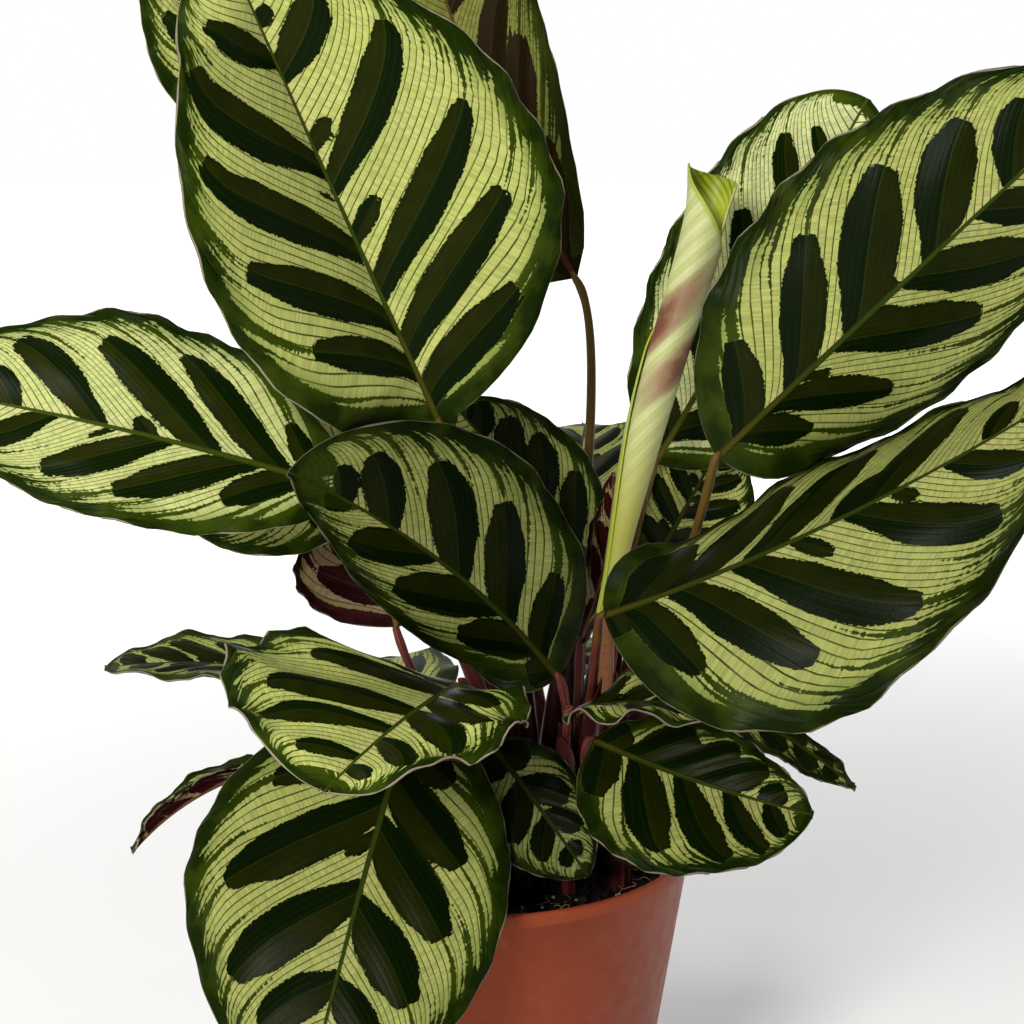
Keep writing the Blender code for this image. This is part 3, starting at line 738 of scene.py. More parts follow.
def put_piece(name: str, points: np.ndarray, faces: list, slot: str, materials: list,
              picks: np.ndarray | None = None, values: dict | None = None) -> bpy.types.Object:
    """Make one finished piece that rides with the plant.

    Args:
        name: the piece's name.
        points: its vertices, one row each, in metres.
        faces: lists of vertex indices, counterclockwise from outside.
        slot: the material slot of the record that it belongs to; it is not used.
        materials: its materials.
        picks: for each face, which material it takes.
        values: attribute name to one number for each vertex.

    Returns:
        The object.
    """
    mesh = bpy.data.meshes.new(name)
    mesh.from_pydata(points, [], faces)
    for key, numbers in (values or {}).items():
        layer = mesh.attributes.new(key, "FLOAT", "POINT")
        layer.data.foreach_set("value", np.asarray(numbers, dtype=np.float32))
    for material in materials:
        mesh.materials.append(material)
    if picks is not None:
        mesh.polygons.foreach_set("material_index", np.asarray(picks, dtype=np.int32))
    mesh.shade_smooth()
    piece = bpy.data.objects.new(name, mesh)
    bpy.context.scene.collection.objects.link(piece)
    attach(piece, BODY)
    LOG.info("%s: %d vertices, %d faces", name, len(points), len(faces))
    return piece


def grid_faces(rows: int, columns: int, start: int = 0, around: bool = False) -> np.ndarray:
    """Corner indices of a grid's quads.

    Args:
        rows, columns: the size of the grid.
        start: the index of its first corner.
        around: true where the last column joins the first.

    Returns:
        A row of four for each quad.
    """
    index = start + np.arange(rows * columns).reshape(rows, columns)
    if around:
        index = np.hstack([index, index[:, :1]])
    corners = [index[:-1, :-1], index[:-1, 1:], index[1:, 1:], index[1:, :-1]]
    return np.stack(corners, axis=-1).reshape(-1, 4)


def border(rows: int, columns: int) -> np.ndarray:
    """Indices round the edge of a grid, counterclockwise from above, each once."""
    index = np.arange(rows * columns).reshape(rows, columns)
    return np.concatenate([index[0], index[1:, -1], index[-1, -2::-1], index[-2:0:-1, 0]])


@dataclass(frozen=True)
class Sheet:
    """A thin closed sheet: an upper grid, a lower grid and a rounded rim between them."""

    upper: np.ndarray
    lower: np.ndarray
    bulge: float

    def solid(self) -> tuple:
        """Join both grids by a rim whose middle line stands out by the bulge.

        The middle line is halfway between the two edges, moved away from the grid's next row
        or column of points.

        Returns:
            Points, faces, the face kinds, and the index of each point's place on the upper grid.
        """
        rows, columns = self.upper.shape[:2]
        count = rows * columns
        top = self.upper.reshape(-1, 3)
        bottom = self.lower.reshape(-1, 3)
        loop = border(rows, columns)
        row, column = loop // columns, loop % columns
        inward = np.clip(row, 1, rows - 2) * columns + np.clip(column, 1, columns - 2)
        middle = (top[loop] + bottom[loop]) / 2
        middle = middle + unit(top[loop] - top[inward]) * self.bulge
        points = np.vstack([top, bottom, middle])
        upper_faces = grid_faces(rows, columns)
        lower_faces = upper_faces[:, ::-1] + count
        rim = 2 * count + np.arange(len(loop))
        after, rim_after = np.roll(loop, -1), np.roll(rim, -1)
        rim_upper = np.stack([loop, rim, rim_after, after], axis=-1)
        rim_lower = np.stack([rim, loop + count, after + count, rim_after], axis=-1)
        faces = np.vstack([upper_faces, rim_upper, lower_faces, rim_lower])
        split = len(upper_faces) + len(rim_upper)
        picks = np.where(np.arange(len(faces)) < split, Face.UPPER.value, Face.UNDER.value)
        return points, faces.tolist(), picks, np.concatenate([np.arange(count)] * 2 + [loop])


@dataclass(frozen=True)
class BlotchRule:
    """Where the blotches of a leaf without a list stand: evenly spaced, a little out by chance."""

    count: int = 4                      # large ones on one side
    long_blade: float = 90.0            # mm, a longer blade has one more
    first: float = 0.07                 # share of the midrib before them
    span: float = 0.86                  # share of the midrib that they take
    step: tuple = (0.15, 0.55)          # of a gap, where the first of each side stands
    stray: float = 0.015                # share of the midrib
    width: float = 0.44                 # of a gap
    wider: tuple = (0.9, 1.15)          # how much the width varies
    reach: float = 0.78                 # at the base
    less_reach: float = 0.18            # less of it at the tip
    further: tuple = (0.93, 1.05)       # how much the reach varies
    small_width: float = 0.55           # of a large one's
    small_reach: tuple = (0.2, 0.3)

    def place(self, leaf: Leaf, side: Side, length: float) -> list:
        """Place one side's blotches: large ones, and a small one in every second gap.

        Args:
            leaf: the leaf.
            side: the half of its blade.
            length: the blade's length in millimetres.

        Returns:
            The blotches, as the leaf's own list would have them.
        """
        chance = np.random.default_rng(100 * leaf.number + side.value)
        count = self.count + (1 if length > self.long_blade else 0)
        gap = self.span / count
        width = self.width * gap * length * leaf.bold
        made = []
        for i in range(count):
            vein = self.first + gap * (i + self.step[side.value]) + chance.uniform(-self.stray, self.stray)
            reach = (self.reach - self.less_reach * vein) * chance.uniform(*self.further)
            made.append((vein, reach, width * chance.uniform(*self.wider)))
            if i % 2 == side.value and i < count - 1:
                made.append((vein + 0.5 * gap, chance.uniform(*self.small_reach), self.small_width * width))
        return made


@dataclass
class Blade:
    """One patterned blade, a fine copy of its solid with veins along its rows."""

    leaf: Leaf
    rows: int = 92
    columns: int = 43
    row_skew: float = 0.35              # how far the rows crowd at the base, and not at both ends
    column_evenness: float = 0.45       # how even the columns are, and not closer at the midrib
    column_power: float = 1.8
    thickness: float = 0.6              # mm
    rim_bulge: float = 0.22             # mm that the edge is rounded out
    rib_depth: float = 1.1              # mm that the midrib stands out below at the base
    rib_width: float = 1.5              # mm, half of it there
    rib_taper: float = 0.7              # less of the depth, and mm less of the width, at the tip
    pleat_height: float = 0.55          # mm that the centre vein of a blotch stands up
    vein_gap: float = 1.9               # mm between two fine veins of the shortest blade
    more_gap: float = 0.006             # mm more of it for each mm of length
    dark_base: float = 0.006            # share of the midrib whose veins stay dark
    base_rise: float = 2.5              # how fast the dark of the first veins ends
    full_margin: float = 110.0          # mm, a shorter blade has a narrower margin
    least_margin: float = 0.5           # share of the margin that the shortest blade keeps
    rule: BlotchRule = BlotchRule()

    @property
    def name(self) -> str:
        """The name of its solid."""
        return f"leaf_{self.leaf.number:02d}_blade"

    @property
    def length(self) -> float:
        """The length in millimetres."""
        return math.dist(self.leaf.base, self.leaf.tip)

    def outline(self, s: np.ndarray, side: Side) -> np.ndarray:
        """Half-width in millimetres: a round base, a shorter point, full at the fullest place.

        It is half * s^a * (1 - s)^b, scaled to 1 at its peak, where b sets the peak's place.

        Args:
            s: shares of the length.
            side: the half of the blade.

        Returns:
            The half-widths.
        """
        fullest = self.leaf.fullest[side.value]
        tip_power = OUTLINE_POWER * (1 - fullest) / fullest
        peak = fullest ** OUTLINE_POWER * (1 - fullest) ** tip_power
        shape = s ** OUTLINE_POWER * (1 - s) ** tip_power / peak
        return np.maximum(self.leaf.half[side.value] * shape, END_HALF_WIDTH)

    def width(self, s: np.ndarray, t: np.ndarray) -> np.ndarray:
        """Half-width in millimetres on the side that t is on."""
        return np.where(t < 0, self.outline(s, Side.LEFT), self.outline(s, Side.RIGHT))

    def surface(self, s: np.ndarray, t: np.ndarray) -> np.ndarray:
        """Points of the upper face in metres, as the source of the solids has them.

        The midrib is the line from base to tip, bowed by arch and sweep. Each half leaves it at
        its fold angle, curls down by its cup angle, and waves along its edge. A finer ripple on
        the edge is added here, up and down and in and out.

        Args:
            s: shares from 0 at the base to 1 at the tip.
            t: shares from -1 at the left margin to 1 at the right one.

        Returns:
            The points.
        """
        leaf = self.leaf
        base = np.array(leaf.base) * MM
        chord = np.array(leaf.tip) * MM - base
        along = unit(chord)
        up = unit(np.array(leaf.face) - np.dot(leaf.face, along) * along)
        across = np.cross(along, up)
        bow = (up * leaf.arch + across * leaf.sweep) * MM
        midrib = base + s[..., None] * chord + (4 * s * (1 - s))[..., None] * bow
        tangent = unit(chord + (4 - 8 * s)[..., None] * bow)
        side = unit(np.cross(tangent, up))
        normal = np.cross(side, tangent)
        left, reach = t < 0, np.abs(t)
        width = self.width(s, t) * MM
        fade = np.minimum(1, END_FADE * s * (1 - s))
        fold = np.radians(np.where(left, leaf.fold[0], leaf.fold[1]))
        cup = np.radians(np.where(left, leaf.cup[0], leaf.cup[1]))
        angle = fade * (fold + cup * (0.5 - 0.5 * reach))
        lag = np.where(left, WAVE_LAG, 0)
        phase = 2 * np.pi * (leaf.waves * s + WAVE_SLANT * reach) + lag + leaf.number
        fine = 2 * np.pi * (RIPPLE_RATE * leaf.waves * s + RIPPLE_SLANT * reach)
        fine = fine + RIPPLE_SHIFT * leaf.number + 2 * lag
        rise = leaf.wave * reach ** WAVE_POWER * np.sin(phase)
        rise = fade * MM * (rise + leaf.ripple * reach ** RIPPLE_POWER * np.sin(fine))
        scallop = SCALLOP * leaf.ripple * reach ** SCALLOP_POWER * np.sin(fine + SCALLOP_SHIFT)
        out = np.sign(t) * reach * width * np.cos(angle) * (1 + scallop * fade)
        lift = reach * width * np.sin(angle) + rise
        return midrib + side * out[..., None] + normal * lift[..., None]

    @staticmethod
    def normals(points: np.ndarray) -> np.ndarray:
        """Unit normals of a grid of points, from the differences between neighbours.

        Args:
            points: the grid.

        Returns:
            One for each point.
        """
        down_rows = np.gradient(points, axis=0)
        down_columns = np.gradient(points, axis=1)
        return unit(np.cross(down_columns, down_rows))

    def vein_line(self, vein: np.ndarray, reach: np.ndarray) -> np.ndarray:
        """Share along the blade of a side vein's point.

        A vein starts at its own share of the midrib and gains on the tip as it goes out, by
        lean * vein^steep * (1 - vein) / (1 + 0.6 * vein) * reach^1.1. So the middle veins gain most,
        and the first and the last stay close to the base and the tip. Close to the midrib it bends
        back towards the base, by root * (1 - vein) * vein / (vein + 0.06) * exp(-reach / 0.08). Close
        to the margin it turns along it, by turn * what is left to the tip * vein / (vein + 0.12)
        * x^2.2, where x rises from 0 at a reach of 0.68 to 1 at the margin.

        Args:
            vein: where the vein starts, as a share of the midrib.
            reach: how far out the point is, as a share of the half-width.

        Returns:
            The shares.
        """
        gain = VEIN_LEAN * vein ** self.leaf.steep * (1 - vein) / (1 + VEIN_FADE * vein)
        root = VEIN_ROOT * (1 - vein) * vein / (vein + ROOT_START)
        turned = np.clip((reach - TURN_START) / (1 - TURN_START), 0, 1) ** TURN_POWER
        turn = VEIN_TURN * (1 - vein - gain) * vein / (vein + TURN_BASE) * turned
        return vein + gain * reach ** VEIN_CURVE + turn - root * np.exp(-reach / ROOT_REACH)

    def blotches(self, side: Side) -> list:
        """This side's blotches, from the leaf's own list or by the rule."""
        listed = self.leaf.left if side is Side.LEFT else self.leaf.right
        return list(listed) or self.rule.place(self.leaf, side, self.length)

    def blotch_depth(self, x: np.ndarray, y: np.ndarray, side: Side) -> np.ndarray:
        """How deep a place lies inside a blotch in millimetres, below zero outside.

        A blotch is a row of circles along its vein: narrow at the midrib, fullest in the middle
        and tapered, then cut straight across, 0.72 of the last radius past the last circle's centre.

        Args:
            x: distances from the midrib in millimetres, positive on both sides.
            y: distances from the base in millimetres.
            side: the half of the blade.

        Returns:
            The depths.
        """
        depth = np.full(x.shape, -30.0)
        share = np.linspace(0, 1, CIRCLES)
        taper = 1 - BLOTCH_TAPER * smooth_step(TAPER_START, 1.0, share)
        shape = BLOTCH_RADIUS * np.minimum(1, BLOTCH_START + BLOTCH_GROWTH * share) * taper
        for vein, reach, width in self.blotches(side):
            radius = width * shape
            cut = END_CUT * radius[-1]
            end = cut / max(float(self.outline(np.array(vein), side)), 1)
            centre = max(reach - end, 0.02) * share
            s = self.vein_line(np.array(vein), centre)
            cx = centre * self.outline(s, side)
            cy = s * self.length
            away = np.hypot(x[..., None] - cx, y[..., None] - cy)
            heading = unit((cx[-1] - cx[-2], cy[-1] - cy[-2]))
            beyond = (x - cx[-1]) * heading[0] + (y - cy[-1]) * heading[1]
            depth = np.maximum(depth, np.minimum((radius - away).max(axis=-1), cut - beyond))
        return depth

    def pleat_phase(self, vein: np.ndarray, side: Side) -> np.ndarray:
        """A number that is whole on the centre vein of each large blotch.

        Args:
            vein: where each point's vein starts.
            side: the half of the blade.

        Returns:
            The numbers.
        """
        centres = sorted(start for start, reach, _ in self.blotches(side) if reach > LARGE_REACH)
        places = [-0.5 * centres[0]] + centres + [0.5 + 0.5 * centres[-1]]
        return np.interp(vein, places, np.arange(len(places)))

    def edge_distance(self, u: np.ndarray, x: np.ndarray, y: np.ndarray) -> np.ndarray:
        """Distance to the edge in millimetres, as the dark margin counts it.

        It is the distance to the outline, no more than the dark base of the first veins allows,
        and counted longer on a short blade or one with less edging, so that the margin is narrower.

        Args:
            u: the vein that each point of the grid is on.
            x: its distance from the midrib in millimetres, below zero on the left.
            y: its distance from the base in millimetres.

        Returns:
            The distances.
        """
        s = np.concatenate([np.linspace(0, 0.04, 60), np.linspace(0.04, 1, 300)])
        edge = np.full(x.shape, 1e3)
        for side in Side:
            rim = self.outline(s, side) * (-1 if side is Side.LEFT else 1)
            away = np.hypot(x[..., None] - rim, y[..., None] - s * self.length)
            edge = np.minimum(edge, away.min(axis=-1))
        edge[:, 0] = edge[:, -1] = 0
        from_base = np.maximum((u - self.dark_base) * self.length * self.base_rise, 1.0)
        edge = np.minimum(edge, from_base) / np.clip(self.length / self.full_margin, self.least_margin, 1)
        return edge / self.leaf.edging

    def fields(self, vein: np.ndarray, u: np.ndarray, t: np.ndarray, s: np.ndarray) -> dict:
        """The numbers that the skin reads, for each point of the grid.

        They are taken on the blade laid flat, with x across and y along it in millimetres. The
        space between two veins is the area between two rows of the grid over what they share.

        Args:
            vein: where each row's vein starts, as a share of the midrib.
            u: the same for each point.
            t: its share of the half-width, below zero on the left.
            s: its share of the length.

        Returns:
            The numbers by name.
        """
        left, count = t < 0, round(self.length / (self.vein_gap + self.more_gap * self.length))
        x, y = np.abs(t) * self.width(s, t), s * self.length
        signed = np.where(left, -x, x)
        by_row = np.stack([np.gradient(signed, vein, axis=0), np.gradient(y, vein, axis=0)], -1)
        by_column = np.stack([np.gradient(signed, axis=1), np.gradient(y, axis=1)], -1)
        area = np.abs(by_row[..., 0] * by_column[..., 1] - by_row[..., 1] * by_column[..., 0])
        shared = np.maximum(np.linalg.norm(by_column, axis=-1), 1e-6)
        depths = [self.blotch_depth(x, y, side) for side in Side]
        phases = [self.pleat_phase(u, side) for side in Side]
        return {
            "vein": u * count, "along": x * math.cos(CELL_SLANT) + y * math.sin(CELL_SLANT),
            "side": 2 * self.leaf.number + np.where(left, 0, 1), "blotch": np.where(left, *depths),
            "edge": self.edge_distance(u, signed, y), "rib": x, "spacing": area / shared / count,
            "pleat": np.where(left, *phases), "share": s,
            "painted_shade": np.full(x.shape, self.leaf.painted_shade), "pale": np.full(x.shape, self.leaf.pale)}

    def build(self, upper: bpy.types.Material, under: bpy.types.Material) -> bpy.types.Object:
        """Build the blade with its pattern's distances, and dress it.

        The rows of the grid follow the side veins. Large blotches are pleated: their centre veins
        stand up as a cosine across the blade. Below, the midrib stands out as a bell.

        Args:
            upper: the material of the upper face and rim.
            under: the material of the underside.

        Returns:
            The blade.
        """
        even = np.linspace(0, 1, self.rows)
        vein = self.row_skew * even ** 2 + (1 - self.row_skew) * (1 - np.cos(np.pi * even)) / 2
        half = np.linspace(0, 1, self.columns // 2 + 1)
        half = self.column_evenness * half + (1 - self.column_evenness) * half ** self.column_power
        u, t = np.meshgrid(vein, np.concatenate([-half[:0:-1], half]), indexing="ij")
        reach = np.abs(t)
        s = self.vein_line(u, reach)
        fields = self.fields(vein, u, t, s)
        points = self.surface(s, t)
        normals = self.normals(points)
        fade = np.sin(np.pi * np.minimum(1, 1.15 * reach)) * (s * (1 - s) * 4)
        swell = np.cos(2 * np.pi * fields["pleat"]) * fade
        points = points + normals * (self.pleat_height * MM * swell)[..., None]
        wide = self.rib_width - self.rib_taper * s
        rib = self.rib_depth * (1 - self.rib_taper * s) * np.exp(-(fields["rib"] / wide) ** 2)
        lower = points - normals * ((self.thickness + rib) * MM)[..., None]
        vertices, faces, picks, source = Sheet(points, lower, self.rim_bulge * MM).solid()
        values = {key: fields[key].ravel()[source] for key in BLADE_FIELDS}
        values["edge"][2 * t.size:] = ON_RIM
        piece = put_piece(self.name, vertices, faces, "leaf", [upper, under], picks, values)
        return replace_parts(piece, self.name)


def bezier(points: tuple, t: np.ndarray) -> np.ndarray:
    """Points of the cubic curve through the first and last of four control points.

    Args:
        points: the control points.
        t: shares of the way, from 0 to 1.

    Returns:
        One point for each share.
    """
    a, b, c, d = (np.asarray(point, dtype=float) for point in points)
    t = t[:, None]
    return a * (1 - t) ** 3 + 3 * b * t * (1 - t) ** 2 + 3 * c * t ** 2 * (1 - t) + d * t ** 3


def carried_frames(path: np.ndarray) -> tuple:
    """Two cross directions at each point of a path, turned as little as possible on the way.

    Args:
        path: points along the path.

    Returns:
        The first and the second direction at each point.
    """
    tangent = unit(np.gradient(path, axis=0))
    first = np.zeros_like(path)
    guess = np.cross(tangent[0], (0.3, 0.9, 0.1))
    for i in range(len(path)):
        guess = guess - np.dot(guess, tangent[i]) * tangent[i]
        guess = guess / np.linalg.norm(guess)
        first[i] = guess
    return first, np.cross(tangent, first)


def corners(sides: int) -> np.ndarray:
    """Angles of evenly spaced corners round a circle, from 0."""
    return np.linspace(0, 2 * np.pi, sides, endpoint=False)


def turned(radius: np.ndarray, height: np.ndarray, sides: int) -> np.ndarray:
    """Rings of points round the upright axis, one ring for each radius and height.

    Args:
        radius, height: of each ring.
        sides: how many points a ring has.

    Returns:
        The points of each ring.
    """
    angle = corners(sides)
    x, y = np.outer(radius, np.cos(angle)), np.outer(radius, np.sin(angle))
    return np.stack([x, y, np.broadcast_to(np.asarray(height)[:, None], x.shape)], -1)


def closed_rings(rings: np.ndarray, ends: tuple, downward: bool = False) -> tuple:
    """A closed surface through rings of points, with a fan of triangles to a point at each end.

    Args:
        rings: the points of each ring, counterclockwise round the way that the path goes.
        ends: the first and the last point.
        downward: true where the rings are counterclockwise from above and the path goes down.

    Returns:
        Points and faces.
    """
    count, sides = rings.shape[:2]
    total = count * sides
    corner = np.arange(sides)
    after = (corner + 1) % sides
    last = total - sides
    start = np.stack([after, corner, np.full(sides, total)], -1)
    stop = np.stack([last + corner, last + after, np.full(sides, total + 1)], -1)
    faces = grid_faces(count, sides, around=True).tolist() + start.tolist() + stop.tolist()
    if downward:
        faces = [face[::-1] for face in faces]
    return np.vstack([rings.reshape(-1, 3), np.reshape(ends, (2, 3))]), faces


def joined(parts: list) -> tuple:
    """Several surfaces as one.

    Args:
        parts: the points and faces of each.

    Returns:
        All points, and all faces counted on from part to part.
    """
    starts = np.cumsum([0] + [len(points) for points, _ in parts])
    faces = [[corner + start for corner in face]
             for (_, part), start in zip(parts, starts.tolist()) for face in part]
    return np.vstack([points for points, _ in parts]), faces


def tube(path: np.ndarray, radii: np.ndarray, sides: int) -> tuple:
    """A round closed tube: circles of given radii across a path, with a point at each end.

    Args:
        path: points of the centre line.
        radii: the radius at each point, or one for each point and side.
        sides: how many corners each circle has.

    Returns:
        Points and faces.
    """
    first, second = carried_frames(path)
    angle = corners(sides)
    radii = np.broadcast_to(np.asarray(radii).reshape(len(path), -1), (len(path), sides))
    rings = (path[:, None] + first[:, None] * (radii * np.cos(angle))[..., None]
             + second[:, None] * (radii * np.sin(angle))[..., None])
    return closed_rings(rings, (path[0], path[-1]))


@dataclass(frozen=True)
class StalkFinish:
    """Living leaf stalk: smooth and finely streaked, purple-brown low down and olive above."""

    name: str = "leaf_stalk_skin"
    low: str = "#22090E"
    middle: str = "#4A1E16"
    high: str = "#524218"
    streak: str = "#8A4A44"
    speck: str = "#1E100C"
    streaks: int = 26           # round the stalk

    def make(self) -> bpy.types.Material:
        """Write the material: three tones along the stalk with fine lengthwise streaks.

        Returns:
            The material.
        """
        r = Recipe(self.name, ("place", "around"))
        uneven = r.add("MapRange", r.clouds(8), *SOFT, -0.08, 0.08, **SMOOTH)
        place = r.add("Math.ADD", r.field["place"], uneven)
        strand = r.add("Math.MULTIPLY", r.field["around"], self.streaks)
        strand = r.cells(r.add("Math.FLOOR", strand), self.streaks)
        pale = r.add("Math.MULTIPLY", r.add("MapRange", strand, 0.55, 1.0, 0.0, 0.6, **SMOOTH),
                     r.add("MapRange", r.clouds(10), 0.35, 0.65, **SMOOTH))
        lower = r.add("MapRange", place, 0.3, 0.75, 1.0, 0.15, **SMOOTH)
        colour = r.coats(
            self.low,
            (r.add("MapRange", place, 0.1, 0.45, **SMOOTH), self.middle),
            (r.add("MapRange", place, 0.45, 0.8, **SMOOTH), self.high),
            (r.add("Math.MULTIPLY", pale, lower), self.streak),
            (r.add("MapRange", r.clouds(1.5, 4), 0.5, 0.75, 0.0, 0.3, **SMOOTH), self.speck))
        height = r.add("Math.MULTIPLY_ADD", strand, 0.6, r.clouds(0.9, 3))
        return r.finish(Base_Color=colour, Roughness=0.42, IOR=1.42, Specular_IOR_Level=0.15,
                        Normal=r.add("Bump", Height=height, Distance=0.12 * MM, Strength=1.0))


@dataclass
class Stalk:
    """One leaf stalk from the soil to its blade."""

    name: str
    crown: tuple
    end: tuple
    direction: tuple
    bend: float = 1.0
    arrive: tuple = ()
    handle: float = 0.4
    end_radius: float = 1.3         # mm
    foot_radius: float = 2.5        # mm
    knee: float = 0.25              # mm that the knee under the blade is thicker
    knee_place: float = 0.95        # share of the way up
    knee_length: float = 0.035      # share of the way
    furrow: float = 0.07            # share of the radius that one lengthwise furrow is deep
    reach_under: float = 3.0        # mm that the stalk runs on under the midrib
    point: float = 0.55             # share of the radius that is left there
    tones: tuple = (120.0, 280.0)   # mm, the heights of the lowest and the highest tone
    points: int = 44
    sides: int = 14

    def route(self) -> np.ndarray:
        """The stalk's centre line: straight up out of the soil, then one curve to the blade.

        Returns:
            Points in metres, evenly spread along the curve's own parameter.
        """
        foot = np.array([self.crown[0] * MM, self.crown[1] * MM, STALK_FOOT])
        start = np.array([foot[0], foot[1], STALK_STRAIGHT_TO])
        end = np.array(self.end) * MM
        direction = unit(self.direction)
        span = np.linalg.norm(end - start)
        blended = self.bend * direction + (1 - self.bend) * unit(end - start)
        arrival = unit(self.arrive if self.arrive else blended)
        tilt = np.linalg.norm(np.cross(arrival, direction))
        end = end - (SEAT_GAP + self.end_radius * MM * tilt) * direction
        handles = (start, start + [0, 0, STALK_RISE * span], end - self.handle * span * arrival, end)
        low = foot + (start - foot) * np.linspace(0, 1, 5)[:-1, None]
        curve = bezier(handles, np.linspace(0, 1, self.points))
        return np.vstack([low, curve])

    def radius(self, share: np.ndarray) -> np.ndarray:
        """The radius in millimetres along the stalk, with its knee just under the blade."""
        radius = self.foot_radius + (self.end_radius - self.foot_radius) * share
        return radius + self.knee * np.exp(-((share - self.knee_place) / self.knee_length) ** 2)

    def build(self, skin: bpy.types.Material) -> bpy.types.Object:
        """Build and dress the stalk: a tapering tube with a slightly thicker knee at its end.

        Args:
            skin: its material.

        Returns:
            The stalk.
        """
        path = self.route()
        radius = self.radius(np.linspace(0, 1, len(path)))
        onward = (unit(path[-1] - path[-2]) + unit(self.direction)) / 2 * self.reach_under * MM
        path = np.vstack([path, path[-1] + onward])
        radius = np.append(radius, self.point * self.end_radius)
        angle = corners(self.sides)
        furrows = 1 - self.furrow * np.cos(angle) ** 8
        points, faces = tube(path, (radius * MM)[:, None] * furrows, self.sides)
        low, high = self.tones
        values = {"place": (points[:, 2] / MM - low) / (high - low),
                  "around": np.concatenate([np.tile(angle / (2 * np.pi), len(path)), [0, 0]])}
        piece = put_piece(self.name, points, faces, "stalk", [skin], values=values)
        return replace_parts(piece, self.name)


@dataclass
class Sheaths:
    """The thin sheaths that clasp the foot of each stalk, all in one piece."""

    stalks: list
    reach: tuple = (88.0, 120.0)    # mm, the lowest and the highest point above the foot
    highest: float = 0.8            # share of the stalk that a sheath covers at most
    clear: float = 1.2              # mm between the stalk and its sheath
    bulge: float = 1.8              # mm that the sheath stands off at its foot
    wrap: float = 140.0             # degrees on each side of its middle
    thickness: float = 0.4          # mm
    rim_bulge: float = 0.1          # mm
    rows: int = 30
    columns: int = 17
    seed: int = 11

    def one(self, stalk: Stalk, chance: np.random.Generator) -> tuple:
        """One sheath: a strip along the stalk that wraps it, and narrows to a point at the top.

        Its half-angle is wrap * (1 - s^4)^0.7, and its radius is the stalk's plus the clearance and a
        bulge that fades as 1 - s, where s runs from 0 at the foot to 1 at the point.

        Args:
            stalk: the one that it clasps.
            chance: the random numbers.

        Returns:
            Points, faces and the numbers that the skin reads.
        """
        path = stalk.route()
        first, second = carried_frames(path)
        rise = (path[:, 2] - path[0, 2]) / MM
        length = np.interp(chance.uniform(*self.reach), rise, np.linspace(0, 1, len(path)))
        length = min(length, self.highest)
        s, t = np.meshgrid(np.linspace(0, 1, self.rows), np.linspace(-1, 1, self.columns), indexing="ij")
        place = s * length * (len(path) - 1)
        low = np.minimum(place.astype(int), len(path) - 2)
        part = (place - low)[..., None]
        centre = path[low] * (1 - part) + path[low + 1] * part
        angle = chance.uniform(0, 2 * np.pi) + t * np.radians(self.wrap) * (1 - s ** 4 + 0.004) ** 0.7
        out = first[low] * np.cos(angle)[..., None] + second[low] * np.sin(angle)[..., None]
        radius = stalk.radius(s * length) + self.clear + self.bulge * (1 - s)
        outer = centre + out * (radius * MM)[..., None]
        inner = outer - out * self.thickness * MM
        points, faces, _, source = Sheet(outer, inner, self.rim_bulge * MM).solid()
        values = {"place": 0.1 + 0.8 * s, "around": t / 2}
        return points, faces, {key: value.ravel()[source] for key, value in values.items()}

    def build(self, skin: bpy.types.Material) -> None:
        """Build and dress all the sheaths.

        Args:
            skin: their material.
        """
        chance = np.random.default_rng(self.seed)
        made = [self.one(stalk, chance) for stalk in self.stalks]
        points, faces = joined([(points, faces) for points, faces, _ in made])
        values = {key: np.concatenate([part[key] for _, _, part in made]) for key in ("place", "around")}
        put_piece("leaf_sheaths", points, faces, "stalk", [skin], values=values)


